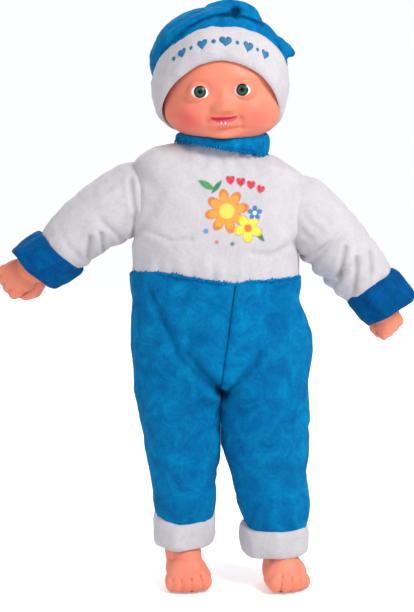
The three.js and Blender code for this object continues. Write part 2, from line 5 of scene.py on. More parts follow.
import bmesh
import bpy
import numpy as np
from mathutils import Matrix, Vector


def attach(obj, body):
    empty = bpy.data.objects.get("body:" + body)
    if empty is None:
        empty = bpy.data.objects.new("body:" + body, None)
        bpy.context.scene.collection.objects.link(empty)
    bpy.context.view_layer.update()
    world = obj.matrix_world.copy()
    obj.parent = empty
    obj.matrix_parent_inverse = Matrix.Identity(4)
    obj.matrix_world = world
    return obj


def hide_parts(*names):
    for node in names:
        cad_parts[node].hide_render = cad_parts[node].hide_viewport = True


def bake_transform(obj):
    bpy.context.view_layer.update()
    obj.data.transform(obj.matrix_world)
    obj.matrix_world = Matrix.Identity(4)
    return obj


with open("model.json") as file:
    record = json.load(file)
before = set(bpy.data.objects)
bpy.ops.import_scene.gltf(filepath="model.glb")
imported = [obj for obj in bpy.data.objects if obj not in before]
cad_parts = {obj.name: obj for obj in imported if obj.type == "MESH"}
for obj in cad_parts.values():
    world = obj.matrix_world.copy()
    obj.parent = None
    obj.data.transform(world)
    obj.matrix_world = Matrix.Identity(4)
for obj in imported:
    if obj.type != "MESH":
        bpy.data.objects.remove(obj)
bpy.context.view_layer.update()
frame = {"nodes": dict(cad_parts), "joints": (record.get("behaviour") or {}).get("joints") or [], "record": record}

JOINTS = {j["name"]: j for j in frame["joints"]}
# The doll's own drawing has x = 0 in the middle of the body; the row frame is shifted from it.
NECK_DRAWN = np.array([1.0, 0.0, 372.0])
SHIFT = np.array(JOINTS["head_turn"]["pos_m"]) * 1000 - NECK_DRAWN


def row(p):
    """A point or points drawn in millimetres on the doll, in the row frame in metres."""
    return (np.asarray(p, float) + SHIFT) / 1000


def circle(count):
    """Angles evenly round a full turn."""
    return np.linspace(0, 2 * math.pi, count, endpoint=False)


# ---------------------------------------------------------------- noise

def value_noise(points, seed=0):
    """Smooth seeded noise from -1 to 1 at points (n, 3), with features about one unit wide."""
    cell = np.floor(points).astype(np.int64)
    f = points - cell
    f = f * f * (3 - 2 * f)
    total = np.zeros(len(points))
    for corner in itertools.product((0, 1), repeat=3):
        c = cell + np.array(corner)
        h = (c[:, 0] * 73856093) ^ (c[:, 1] * 19349663) ^ (c[:, 2] * 83492791) ^ (seed * 40503 + 977)
        h = ((h ^ (h >> 13)) * 1274126177) & 0xFFFFFFFF
        h = h ^ (h >> 15)
        weight = np.prod(np.where(np.array(corner) == 1, f, 1 - f), axis=1)
        total += ((h & 0xFFFF) / 32767.5 - 1) * weight
    return total


def lumps(points, size, seed, octaves=2):
    """Noise in millimetre space: size is the width of the largest lumps."""
    total = np.zeros(len(points))
    for k in range(octaves):
        total += value_noise(points / size * 2 ** k + 31.7 * k, seed + k) / 2 ** k
    return total


def smooth(a, b, x):
    """Rises smoothly from 0 at a to 1 at b; b may lie below a."""
    t = np.clip((x - a) / (b - a), 0, 1)
    return t * t * (3 - 2 * t)


def bump(x, z, cx, cz, sx, sz):
    """A round swelling of height 1 at (cx, cz), with widths sx and sz."""
    return np.exp(-((x - cx) / sx) ** 2 - ((z - cz) / sz) ** 2)


def line_distance(px, pz, line):
    """Distance from each point to a polyline drawn in the x-z plane."""
    best = np.full(px.shape, 1e9)
    for (x0, z0), (x1, z1) in zip(line, line[1:]):
        dx, dz = x1 - x0, z1 - z0
        t = np.clip(((px - x0) * dx + (pz - z0) * dz) / (dx * dx + dz * dz), 0, 1)
        best = np.minimum(best, np.hypot(px - x0 - t * dx, pz - z0 - t * dz))
    return best


# ---------------------------------------------------------------- materials

def srgb(r, g, b):
    """A colour given as 0 to 255 in sRGB, in the linear values that a socket holds."""
    parts = (c / 255 for c in (r, g, b))
    return tuple(c / 12.92 if c < 0.04 else ((c + 0.055) / 1.055) ** 2.4 for c in parts) + (1,)


class Nodes:
    """A short way to write the nodes of a material, or of another owner such as a world."""

    def __init__(self, name, owner=None, shader="Principled BSDF"):
        self.material = owner or bpy.data.materials.new(name)
        self.material.use_nodes = True
        self.tree = self.material.node_tree
        self.shader = self.tree.nodes[shader]

    def set(self, **values):
        for key, value in values.items():
            self.shader.inputs[key.replace("_", " ")].default_value = value
        return self

    def add(self, kind, **settings):
        node = self.tree.nodes.new(kind)
        for key, value in settings.items():
            if key in node.inputs:
                node.inputs[key].default_value = value
            else:
                setattr(node, key, value)
        return node

    def link(self, a, b):
        self.tree.links.new(a, b)

    def noise(self, scale, detail=3.0, rough=0.6, distortion=0.0):
        if not hasattr(self, "place"):
            self.place = self.add("ShaderNodeTexCoord").outputs["Object"]
        node = self.add("ShaderNodeTexNoise", Scale=scale, Detail=detail)
        node.inputs["Roughness"].default_value = rough
        node.inputs["Distortion"].default_value = distortion
        self.link(self.place, node.inputs["Vector"])
        return node.outputs["Fac"]

    def ramp(self, source, *stops):
        node = self.add("ShaderNodeValToRGB")
        ramp = node.color_ramp
        while len(ramp.elements) < len(stops):
            ramp.elements.new(0.5)
        for element, (at, colour) in zip(ramp.elements, stops):
            element.position = at
            element.color = colour
        self.link(source, node.inputs["Fac"])
        return node.outputs["Color"]

    def mix(self, fac, a, b, blend="MIX"):
        node = self.add("ShaderNodeMix", data_type="RGBA", blend_type=blend)
        for value, socket in ((fac, node.inputs[0]), (a, node.inputs[6]), (b, node.inputs[7])):
            if isinstance(value, (int, float, tuple)):
                socket.default_value = value
            else:
                self.link(value, socket)
        return node.outputs[2]

    def math(self, operation, a, b=0.0):
        node = self.add("ShaderNodeMath", operation=operation)
        for value, socket in ((a, node.inputs[0]), (b, node.inputs[1])):
            if isinstance(value, (int, float)):
                socket.default_value = value
            else:
                self.link(value, socket)
        return node.outputs[0]

    def attribute(self, name):
        return self.add("ShaderNodeAttribute", attribute_name=name)

    def colour(self, socket):
        return self.drive(socket, "Base Color")

    def between(self, socket, low, high, start=0.0, end=1.0):
        """A value that runs from start to end, made to run from low to high."""
        ends = {"From Min": start, "From Max": end, "To Min": low, "To Max": high}
        node = self.add("ShaderNodeMapRange", **ends)
        self.link(socket, node.inputs["Value"])
        return node.outputs["Result"]

    def drive(self, socket, name):
        self.link(socket, self.shader.inputs[name])
        return self

    def rough(self, socket, low, high):
        return self.drive(self.between(socket, low, high), "Roughness")

    def relief(self, source, strength, distance):
        node = self.add("ShaderNodeBump", Strength=strength, Distance=distance)
        self.link(source, node.inputs["Height"])
        if hasattr(self, "last_bump"):
            self.link(self.last_bump, node.inputs["Normal"])
        self.last_bump = node.outputs["Normal"]
        self.link(self.last_bump, self.shader.inputs["Normal"])
        return self


def velour(name, dark, middle, light, sheen=0.5, tint=(1, 1, 1, 1), print_layer=False, depth=0.6):
    """Short knitted pile: brushed patches of lighter and darker nap, fine tufts and a soft sheen, darkened where
    the mesh's crease attribute says: painted shade in creases and seams, and on the trousers darker streaks of
    nap.
    """
    m = Nodes(name)
    patches = m.noise(60, 6.0, 0.72, 0.5)
    tufts = m.noise(420, 3.0, 0.7)
    pile = m.noise(1500, 2.0, 0.6)
    base = m.ramp(patches, (0.30, dark), (0.52, middle), (0.74, light))
    fine = m.ramp(tufts, (0.30, (0.80, 0.80, 0.81, 1)), (0.66, (1.07, 1.07, 1.07, 1)))
    colour = m.mix(depth, base, fine, "MULTIPLY")
    if print_layer:
        ink = m.attribute("print")
        worn = m.math("MULTIPLY", ink.outputs["Alpha"], m.math("ADD", m.math("MULTIPLY", tufts, 0.35), 0.78))
        colour = m.mix(worn, colour, ink.outputs["Color"])
    # painted shade: the crease attribute darkens the nap towards a deep tone of its darkest colour (on the
    # trousers it also carries darker streaks of nap)
    crease = m.attribute("crease").outputs["Fac"]
    colour = m.mix(crease, colour, tuple(c * 0.42 for c in dark[:3]) + (1,))
    m.colour(colour).rough(tufts, 0.78, 0.97)
    m.relief(tufts, 0.55, 0.0007).relief(pile, 0.5, 0.0003)
    m.set(Sheen_Weight=sheen, Sheen_Roughness=0.42, Sheen_Tint=tint, Specular_IOR_Level=0.06)
    return m.material


def vinyl(name):
    """Soft moulded vinyl with painted lips and blush, and painted shade in the creases of the face, hands and
    feet, held in the mesh's own colours.
    """
    m = Nodes(name)
    cloud = m.noise(26, 3.0, 0.5)
    base = m.ramp(cloud, (0.35, srgb(228, 129, 103)), (0.65, srgb(236, 141, 115)))
    paint = m.attribute("paint")
    colour = m.mix(paint.outputs["Alpha"], base, paint.outputs["Color"])
    grain = m.noise(900, 2.0, 0.5)
    m.colour(colour).rough(grain, 0.48, 0.60)
    m.relief(grain, 0.10, 0.0002)
    m.set(Subsurface_Weight=0.12, Subsurface_Radius=(0.9, 0.35, 0.2), Subsurface_Scale=0.004)
    m.set(Specular_IOR_Level=0.32)
    return m.material


def plain(name, colour, roughness, metallic=0.0, coat=0.0, scale=300.0, spread=0.12, bump=0.12):
    """A moulded, painted or plated finish with faint clouding, fine grain and rubbed roughness."""
    m = Nodes(name)
    cloud = m.noise(scale * 0.15, 3.0, 0.6)
    grain = m.noise(scale * 4, 2.0, 0.6)
    dark = tuple(c * (1 - spread) for c in colour[:3]) + (1,)
    light = tuple(min(c * (1 + spread), 1) for c in colour[:3]) + (1,)
    m.colour(m.ramp(cloud, (0.35, dark), (0.65, light)))
    m.rough(grain, max(roughness - 0.08, 0.02), min(roughness + 0.08, 1))
    m.relief(grain, bump, 0.00015)
    m.set(Metallic=metallic, Coat_Weight=coat, Coat_Roughness=0.1)
    return m.material


# each velour: its dark, middle and light nap, then its sheen
WHITE_NAP = (srgb(190, 185, 192), srgb(196, 192, 198), srgb(203, 199, 205), 0.22)
BLUE_NAP = (srgb(0, 86, 144), srgb(0, 110, 166), srgb(0, 136, 188), 0.2, (0.02, 0.5, 0.9, 1))
DEEP_NAP = (srgb(0, 60, 112), srgb(0, 78, 136), srgb(0, 100, 160), 0.16, (0.0, 0.5, 0.8, 1))
WHITE = velour("white_velour", *WHITE_NAP, depth=0.3)
WHITE_PRINT = velour("white_velour_printed", *WHITE_NAP, print_layer=True, depth=0.3)
BLUE = velour("blue_velour", *BLUE_NAP, depth=0.9)
DEEP = velour("deep_blue_velour", *DEEP_NAP, depth=0.8)
SKIN = vinyl("vinyl_skin")
TOOTH = plain("tooth_paint", srgb(250, 238, 232), 0.3, coat=0.4)
THREAD = plain("embroidery_thread", srgb(10, 106, 152), 0.55, scale=900, spread=0.3, bump=0.6)


# ---------------------------------------------------------------- meshes

def build(name, points, faces, material, smooth_shade=True):
    """A mesh object from points drawn in millimetres on the doll."""
    mesh = bpy.data.meshes.new(name)
    mesh.from_pydata([tuple(p) for p in row(points)], [], [tuple(int(i) for i in f) for f in faces])
    mesh.materials.append(material)
    mesh.polygons.foreach_set("use_smooth", np.full(len(mesh.polygons), smooth_shade))
    mesh.update()
    obj = bpy.data.objects.new(name, mesh)
    bpy.context.scene.collection.objects.link(obj)
    return obj


def paint(obj, layer, colours):
    """Per-vertex colour and strength (n, 4), read by the material."""
    attribute = obj.data.attributes.new(layer, "FLOAT_COLOR", "POINT")
    attribute.data.foreach_set("color", np.asarray(colours, np.float32).ravel())


def cover(colours, mask, rgb):
    """Lays a colour over painted values (n, 4) as strongly as the mask says."""
    strength = np.clip(mask, 0, 1)[:, None]
    colours[:, :3] = colours[:, :3] * (1 - strength) + np.array(srgb(*rgb)[:3]) * strength
    colours[:, 3] = np.maximum(colours[:, 3], strength[:, 0])


def shade(obj, amount):
    """Marks how strongly the velour is darkened at each vertex, 0 to 1: painted shade in creases, seams and
    grooves, and on the trousers also darker streaks of nap.
    """
    a = np.clip(np.asarray(amount, float).ravel(), 0, 1)
    a = np.concatenate([a, np.zeros(len(obj.data.vertices) - len(a))])
    obj.data.attributes.new("crease", "FLOAT", "POINT").data.foreach_set("value", a.astype(np.float32))


def grid_faces(rows, columns):
    """Faces of a tube whose points run round it row by row."""
    faces = []
    for i in range(rows - 1):
        for j in range(columns):
            k = (j + 1) % columns
            a, b = i * columns, (i + 1) * columns
            faces.append((a + j, a + k, b + k, b + j))
    return faces


def join_ends(rows, columns):
    """Faces that join a tube's last row to its first, as in a ring."""
    last = (rows - 1) * columns
    return [(last + j, last + (j + 1) % columns, (j + 1) % columns, j) for j in range(columns)]


def capped(p, first, last):
    """Points and faces of a tube of rows (rows, columns, 3), with a fan at each end to first and last."""
    rows, columns = p.shape[:2]
    count = rows * columns
    end = count - columns
    faces = grid_faces(rows, columns)
    faces += [(count, (j + 1) % columns, j) for j in range(columns)]
    faces += [(count + 1, end + j, end + (j + 1) % columns) for j in range(columns)]
    return np.concatenate([p.reshape(-1, 3), [first], [last]]), faces


def ellipses(cx, cy, rx, ry, z, t):
    """Rows of points at angles t round an ellipse at each height z."""
    x = cx[:, None] + rx[:, None] * np.cos(t)
    y = cy[:, None] + ry[:, None] * np.sin(t)
    return np.stack([x, y, np.repeat(z[:, None], len(t), 1)], 2)


def grid_normals(p):
    """Outward normals of a tube (rows, columns, 3) whose columns run anticlockwise seen from its end."""
    du = np.roll(p, -1, 1) - np.roll(p, 1, 1)
    dv = np.gradient(p, axis=0)
    n = np.cross(du, dv)
    return n / np.maximum(np.linalg.norm(n, axis=2, keepdims=True), 1e-9)


def tube(name, p, material):
    """A closed form from rows of points (rows, columns, 3)."""
    points, faces = capped(p, p[0].mean(0), p[-1].mean(0))
    return build(name, points, faces, material)


def table(rows, at):
    """The rows of a ring table, read smoothly at each value of its first column."""
    steps, reach = 400, 12
    rows = np.array(rows, float)
    fine = np.linspace(rows[0, 0], rows[-1, 0], steps)
    kernel = np.hanning(2 * reach + 1)
    kernel /= kernel.sum()
    out = []
    for k in range(1, rows.shape[1]):
        v = np.interp(fine, rows[:, 0], rows[:, k])
        v = np.pad(v, reach, mode="reflect", reflect_type="odd")
        v = np.convolve(v, kernel, mode="valid")
        out.append(np.interp(at, fine, v))
    return out


# ---------------------------------------------------------------- camera, light and floor

def place_in_studio(obj, at, toward):
    """Puts a camera or a lamp at one drawn point, looking at another."""
    bpy.context.scene.collection.objects.link(obj)
    obj.location = Vector(row(at))
    obj.rotation_euler = (Vector(row(toward)) - obj.location).to_track_quat("-Z", "Y").to_euler()


camera = bpy.data.objects.new("camera", bpy.data.cameras.new("camera"))
place_in_studio(camera, (-12, -1240, 358.5), (-12, 0, 236.5))
camera.data.sensor_width = 36
camera.data.sensor_height = 36
camera.data.sensor_fit = "AUTO"
camera.data.lens = 85.0
camera.data.clip_start = 0.05
bpy.context.scene.camera = camera

LIT, SEEN = 0.48, 1.0                                  # the world's strength as a lamp, and as a background
world = Nodes("studio", bpy.data.worlds.new("studio"), "Background")
world.set(Color=(0.98, 0.99, 1.0, 1))
seen = world.add("ShaderNodeLightPath").outputs["Is Camera Ray"]
world.drive(world.between(seen, LIT, SEEN), "Strength")
bpy.context.scene.world = world.material
bpy.context.scene.view_settings.view_transform = "Standard"


def light(name, at, toward, size, power, colour=(1, 1, 1)):
    """A square lamp: its size in metres and its power in watts."""
    lamp = bpy.data.objects.new(name, bpy.data.lights.new(name, "AREA"))
    lamp.data.size = size
    lamp.data.energy = power
    lamp.data.color = colour
    place_in_studio(lamp, at, toward)


light("key", (780, -900, 1150), (0, 0, 260), 0.6, 20, (1, 0.99, 0.97))
light("fill", (-1100, -800, 500), (0, 0, 240), 1.2, 4.0, (0.95, 0.97, 1))
light("rim", (-300, 900, 1000), (0, 0, 300), 0.9, 8)

# the floor glows a little to the camera, more with distance, so that it fades into the background
NEAR, FAR = (0.3, 0.26), (1.6, 0.75)                   # distance in metres, and glow
ground = Nodes("pale_floor")
ground.set(Base_Color=(0.95, 0.955, 0.955, 1), Roughness=0.75, Emission_Color=(1, 1, 1, 1))
distance = ground.add("ShaderNodeVectorMath", operation="LENGTH")
ground.link(ground.add("ShaderNodeTexCoord").outputs["Object"], distance.inputs[0])
glow = ground.between(distance.outputs["Value"], NEAR[1], FAR[1], NEAR[0], FAR[0])
seen = ground.add("ShaderNodeLightPath").outputs["Is Camera Ray"]
ground.drive(ground.math("MULTIPLY", seen, glow), "Emission Strength")
sweep = bpy.data.meshes.new("floor")
corners = [(x, y, 0) for y in (-3, 3) for x in (-3, 3)]
sweep.from_pydata(corners, [], [(0, 1, 3, 2)])
sweep.materials.append(ground.material)
floor = bpy.data.objects.new("floor", sweep)
bpy.context.scene.collection.objects.link(floor)


# ---------------------------------------------------------------- head

HEAD_X, HEAD_Z = 1.0, 427.0
SKULL = [
    # height, middle x, middle y, half width, half depth
    (378.6, 2, -17, 0, 0), (379.2, 2, -17, 16, 13), (381.4, 2, -15, 27.5, 23), (386, 1.8, -10, 38.5, 32.5),
    (390, 1.5, -8, 43.5, 37.5), (396, 1, -5.5, 47.6, 42.5), (406, 1, -3, 50.4, 47.2),
    (416, 1, -1, 50.6, 50), (428, 1, 0, 50.3, 52),
    (440, 1, 0.5, 49, 51.5), (452, 1, 0.5, 44.5, 46.5), (463, 1, 1, 35.5, 38.5), (471, 1, 2, 25, 29),
    (476, 1, 2, 13.5, 16), (477.8, 1, 2, 0, 0),
]
EYE_R, EYE_Y = 10.5, -40.6
EYES = {"right": (-18.1, 416.9), "left": (18.1, 418.6)}
GAZE = {"right": 0.4, "left": -1.5}                   # how far sideways each iris sits, in millimetres
ROLL = math.radians(2.7)
SKIN_TONE = srgb(232, 135, 109)


def face_plane(x, z):
    """Face coordinates: the face leans a little, its middle line a little to the doll's left."""
    dx, dz = x - 1.4, z - 410
    return dx * math.cos(ROLL) + dz * math.sin(ROLL), 410 + dz * math.cos(ROLL) - dx * math.sin(ROLL)


def make_head():
    rows, front, rest = 250, 230, 110
    u = np.linspace(-math.pi / 2, math.pi / 2, rows)
    low, high = SKULL[0][0], SKULL[-1][0]
    middle, half = (low + high) / 2, (high - low) / 2
    z = middle + half * np.sin(u)
    knots = [math.asin(np.clip((r[0] - middle) / half, -1, 1)) for r in SKULL]
    cx, cy, rx, ry = table([(k,) + r[1:] for k, r in zip(knots, SKULL)], u)
    rx[0] = ry[0] = rx[-1] = ry[-1] = 0.02
    # columns are closer together across the face
    a = np.concatenate([np.linspace(-math.pi * 0.93, -math.pi * 0.07, front, endpoint=False),
                        np.linspace(-math.pi * 0.07, math.pi * 1.07, rest, endpoint=False)])
    p = ellipses(cx, cy, rx, ry, z, a)
    n = grid_normals(p)
    n[0], n[-1] = (0, 0, -1), (0, 0, 1)
    fx, fz = face_plane(p[..., 0], p[..., 2])
    facing = smooth(0.05, -0.55, n[..., 1])
    d = np.zeros(fx.shape)
    for s in (-1, 1):
        d += 4.6 * bump(fx, fz, s * 28, 400, 13, 11)            # cheeks
        d -= 3.0 * bump(fx, fz, s * 18, 417.5, 10.5, 7.0)       # eye hollows
        d += 1.5 * bump(fx, fz, s * 19, 429, 13, 4.5)           # brows
        d += 2.0 * bump(fx, fz, s * 6.4, 402.4, 3.4, 3.2)       # sides of the nose
        d -= 0.9 * bump(fx, fz, s * 12.0, 402.5, 3.4, 5.0)      # fold beside the nose
        d -= 1.5 * bump(fx, fz, s * 12.8, 395.4, 2.6, 2.4)      # mouth corners
        crease = line_distance(fx, fz, [(s * 13.2, 396), (s * 14.6, 391.5), (s * 14.0, 388)])
        d -= (0.9 if s > 0 else 0.4) * np.exp(-(crease / 2.0) ** 2)
    d += 7.4 * bump(fx, fz, 0.4, 404.6, 7.4, 5.6)               # button nose
    d += 2.2 * bump(fx, fz, 0, 414.5, 4.6, 7.0)                 # bridge
    d -= 1.5 * bump(fx, fz, 0, 399.0, 6.5, 1.5)                 # under the nose
    d += 1.8 * bump(fx, fz, 0, 397.4, 8.6, 1.7)                 # upper lip
    d += 2.8 * bump(fx, fz, 0, 391.4, 8.2, 2.4)                 # lower lip and the ledge below it
    line = 395.3 + 0.006 * fx ** 2
    mouth = smooth(12.0, 8.8, np.abs(fx))
    d -= 1.9 * mouth * np.exp(-((fz - line) / 0.9) ** 2)        # parting line
    d -= 2.2 * bump(fx, fz, 0, 386.9, 13, 1.6)                  # fold over the chin
    d += 3.0 * bump(fx, fz, 0, 382.8, 10, 3.6)                  # chin
    p = p + n * (d * facing)[..., None]
    for s in (-1, 1):                                           # small ears
        side = smooth(43, 48, s * (p[..., 0] - HEAD_X))
        ear = bump(p[..., 1], p[..., 2], 3, 409, 6, 8) - 0.7 * bump(p[..., 1], p[..., 2], 1, 410, 2.6, 4)
        p[..., 0] += s * side * 4.0 * ear
    # eyelids wrap the eyeball and the opening between them is cut back behind it
    for name, (ex, ez) in EYES.items():
        dx, dz = p[..., 0] - ex, p[..., 2] - ez
        r2 = dx ** 2 + dz ** 2
        dx = dx - GAZE[name]
        ball = EYE_Y - np.sqrt(np.maximum((EYE_R + 0.75) ** 2 - r2, 0))
        lid = smooth(14.2, 8.0, np.sqrt(r2)) * (p[..., 1] < 0)
        lifted = np.minimum(p[..., 1], ball)
        p[..., 1] = p[..., 1] * (1 - lid) + lifted * lid
        tilt = dz - 0.05 * dx * (1 if ex > 0 else -1)
        e = (np.abs(dx) / 6.8) ** 2.1 + (np.abs(tilt + 0.2) / 4.6) ** 2.1
        hole = smooth(1.14, 0.90, e) * (p[..., 1] < 0)
        p[..., 1] += hole * 6.5
    q = p.reshape(-1, 3)
    qx, qz = face_plane(q[:, 0], q[:, 2])
    colours = np.zeros((len(q), 4))
    colours[:, :3] = SKIN_TONE[:3]
    unpainted = SKIN_TONE[:3] + (0,)

    forward = (q[:, 1] < -15).astype(float)

    def lay(mask, *rgb):
        cover(colours, mask * forward, rgb)

    for s in (-1, 1):
        lay((0.9 if s < 0 else 0.6) * bump(qx, qz, s * 30, 396, 17, 14), 222, 88, 90)
        # a darker, warmer tint in the eye hollows: painted shade
        lay(0.40 * bump(qx, qz, s * 18, 418, 11, 8), 224, 118, 96)
        # painted shade in the mouth corners' dimples
        lay(0.55 * bump(qx, qz, s * 12.6, 394, 2.6, 4), 190, 84, 70)
        # painted shade beside and under the nose wings
        lay(0.30 * bump(qx, qz, s * 7.5, 400.6, 3.5, 2.4), 214, 100, 82)
        # painted shade round the eye opening, where the lids meet the eyeball
        ring = ((qx - s * 18) / 8.4) ** 2 + ((qz - 418.0) / 6.2) ** 2
        lay(0.35 * np.exp(-((ring - 1.0) / 0.35) ** 2), 206, 120, 108)
    # painted shade in the fold over the chin
    lay(0.40 * bump(qx, qz, 0, 387.3, 11, 1.9), 206, 98, 82)
    top = 395.8 + 0.004 * qx ** 2
    bottom = 391.0 + 0.032 * qx ** 2
    inside = smooth(-0.5, 0.4, top + 0.9 - qz) * smooth(-0.6, 0.7, qz - bottom)
    inside = inside * smooth(12.0, 10.6, np.abs(qx))
    lay(0.92 * inside, 226, 62, 98)
    # painted shade in the groove where the lips part: a darker line along the top of the mouth
    dark = np.exp(-((qz - top) / 0.8) ** 2) * smooth(11.8, 8.5, np.abs(qx))
    lay(0.6 * dark, 190, 34, 72)
    points, faces = capped(p, (2, -20, low), (1, 2, high))
    head = build("head", points, faces, SKIN)
    paint(head, "paint", np.concatenate([colours, [unpainted] * 2]))
    # two lower teeth just showing over the lip
    for x in (-1.7, 1.5):
        tooth = ellipsoid((1.4 + x, -52.0, 391.6), (0.75, 1.2, 1.1))
        piece = build("tooth_right" if x < 0 else "tooth_left", *tooth, TOOTH)
        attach(piece, "head")
    for s in (-1, 1):                                           # the lobes of the ears, just under the hat
        ear = ellipsoid((HEAD_X + s * 41.6, -12, 396.5), (3.4, 5.0, 6.0), s * 0.3)
        lobe = build("ear_right" if s < 0 else "ear_left", *ear, SKIN)
        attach(lobe, "head")
    # the neck flange that the cloth is tied round
    rings = np.array([(383, 20), (368.5, 20), (368.5, 17), (364, 17),
                      (364, 20), (358.2, 20), (358.2, 13.6), (384, 13.6)])
    height, radius = rings.T
    p = ellipses(np.full(len(rings), HEAD_X), np.zeros(len(rings)), radius, radius, height, circle(64))
    faces = grid_faces(*p.shape[:2])
    neck = build("head_neck_flange", p.reshape(-1, 3), faces, SKIN, smooth_shade=False)
    paint(neck, "paint", np.tile(unpainted, (p.shape[0] * p.shape[1], 1)))
    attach(head, "head")
    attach(neck, "head")
    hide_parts("head_shell")


def eye_material():
    """White, dark-ringed grey-green iris and black pupil, set by distance from the eye's own forward axis."""
    m = Nodes("acrylic_eye")
    place = m.add("ShaderNodeTexCoord").outputs["Object"]
    split = m.add("ShaderNodeSeparateXYZ")
    m.link(place, split.inputs[0])
    flat = m.add("ShaderNodeCombineXYZ")
    m.link(split.outputs[0], flat.inputs[0])
    m.link(split.outputs[2], flat.inputs[2])
    length = m.add("ShaderNodeVectorMath", operation="LENGTH")
    m.link(flat.outputs[0], length.inputs[0])
    r = m.math("MULTIPLY", length.outputs["Value"], 100.0)      # 0.5 at the iris's edge
    around = m.math("ARCTAN2", split.outputs[0], split.outputs[2])
    spokes = m.add("ShaderNodeCombineXYZ")
    m.link(m.math("MULTIPLY", around, 9.0), spokes.inputs[0])
    m.link(m.math("MULTIPLY", r, 2.0), spokes.inputs[1])
    streak = m.add("ShaderNodeTexNoise", Scale=1.6, Detail=3.0)
    m.link(spokes.outputs[0], streak.inputs["Vector"])
    iris = m.ramp(streak.outputs["Fac"], (0.3, srgb(22, 46, 34)), (0.55, srgb(58, 92, 74)),
                  (0.75, srgb(110, 140, 122)))

    def grey(*stops):
        return m.ramp(r, *((at, (level, level, level, 1)) for at, level in stops))

    rings = grey((0.0, 0), (0.13, 0), (0.19, 0.5), (0.30, 1), (0.37, 0.5), (0.42, 0.04), (0.49, 0.02))
    coloured = m.mix(1.0, iris, rings, "MULTIPLY")
    edge = grey((0.49, 0), (0.52, 1))
    front = m.math("LESS_THAN", split.outputs[1], 0.0)
    back = m.math("SUBTRACT", 1.0, front)
    fac = m.math("MAXIMUM", edge, back)
    white = m.ramp(m.noise(200), (0.3, srgb(238, 226, 230)), (0.7, srgb(250, 246, 246)))
    m.colour(m.mix(fac, coloured, white))
    m.set(Roughness=0.22, Coat_Weight=0.22, Coat_Roughness=0.05, Specular_IOR_Level=0.15)
    return m.material


def make_eyes():
    material = eye_material()
    rows, columns = 60, 96
    v, t = np.linspace(0, math.pi, rows), circle(columns)
    for name, (ex, ez) in EYES.items():
        # a slight corneal bulge over the iris, about the forward axis
        r = EYE_R + 0.35 * smooth(0.62, 0.30, v)
        depth = -np.repeat((r * np.cos(v))[:, None], columns, 1)
        ball = np.stack([np.outer(r * np.sin(v), np.cos(t)), depth, np.outer(r * np.sin(v), np.sin(t))], 2)
        ball = ball[:, ::-1]
        eye = tube(name + "_eye", ball[1:-1] - SHIFT, material)
        eye.location = Vector(row((ex, EYE_Y, ez)))
        eye.rotation_euler = (0, 0, math.asin(GAZE[name] / EYE_R))
        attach(eye, "head")
        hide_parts(name + "_eyeball", name + "_iris")


# ---------------------------------------------------------------- stocking cap

TILT = math.radians(33)


def cap(points):
    """From the cap's own space, whose +Z leans back, to the doll's."""
    p = np.asarray(points, float)
    x, y, z = np.moveaxis(p, -1, 0)
    c, s = math.cos(TILT), math.sin(TILT)
    return np.stack([x + HEAD_X, y * c + z * s, z * c - y * s + HEAD_Z], -1)


BRIM_X, BRIM_Y = 52.6, 55.4                            # half width and half depth of its opening
BRIM_THICK, BRIM_HALF = 7.0, 16.5                      # how far it puffs out, and half its width


def brim_outer(t, s, thick=BRIM_THICK):
    """The brim's outer face at angle t and height s (-1 to 1 across its width), in the cap's space.

    It sits lower over the ears than a straight band would, a little more on the doll's right."""
    puff = thick * np.maximum(1 - np.abs(s) ** 2.6, 0.0) ** 0.5
    front = np.maximum(-np.sin(t), 0) ** 2
    right = np.where(np.cos(t) < 0, np.cos(t) ** 2, 0)
    left = np.where(np.cos(t) > 0, np.cos(t) ** 2, 0)
    share = (s + 1) / 2
    drop = (1 - share) * (0.5 * front + 13 * right + 14.2 * left)
    drop = drop + share * (1.5 * front + 9 * right + 3.5 * left)
    close = 3.4 * smooth(0.4, -1.0, s) * np.minimum(front + right + left, 1)
    wave = 0.6 * np.sin(3 * t + 1.1) + 0.35 * np.sin(7 * t + 0.4)
    reach = BRIM_X + puff - close + 1.5 * right - 2.0 * left
    return np.stack([reach * np.cos(t), (BRIM_Y + puff - close) * np.sin(t),
                     0.5 + s * BRIM_HALF + wave * 0.8 - drop], -1)


# the cap's rolled end, the fold in front of the roll, and the hanging point: x, y, z and radius
ROLL_LINE = [(-50, 4, 450, 10.5), (-42, 0, 458.5, 11), (-31, -4, 466, 10.8), (-20, -7, 473, 10.8),
             (-6, -9, 481.5, 11.2), (6, -10, 485, 11), (15, -10, 484, 10.5), (22, -10, 480.5, 10),
             (24.5, -9, 476, 9.5)]
FOLD_LINE = [(-47, -12, 446, 8), (-37, -24, 454, 8.5), (-26, -32, 461, 8.5), (-12, -35, 467.5, 8.5),
             (4, -35, 470, 9), (20, -31, 468.5, 8.5), (32, -23, 464, 9), (42, -14, 458, 8.5)]
POINT_LINE = [(20, -6, 464, 9.5), (36, -4, 460.5, 10.5), (47, 0, 457, 9), (54, 2, 454.5, 6.5),
              (59.5, 4, 452.3, 3.8)]


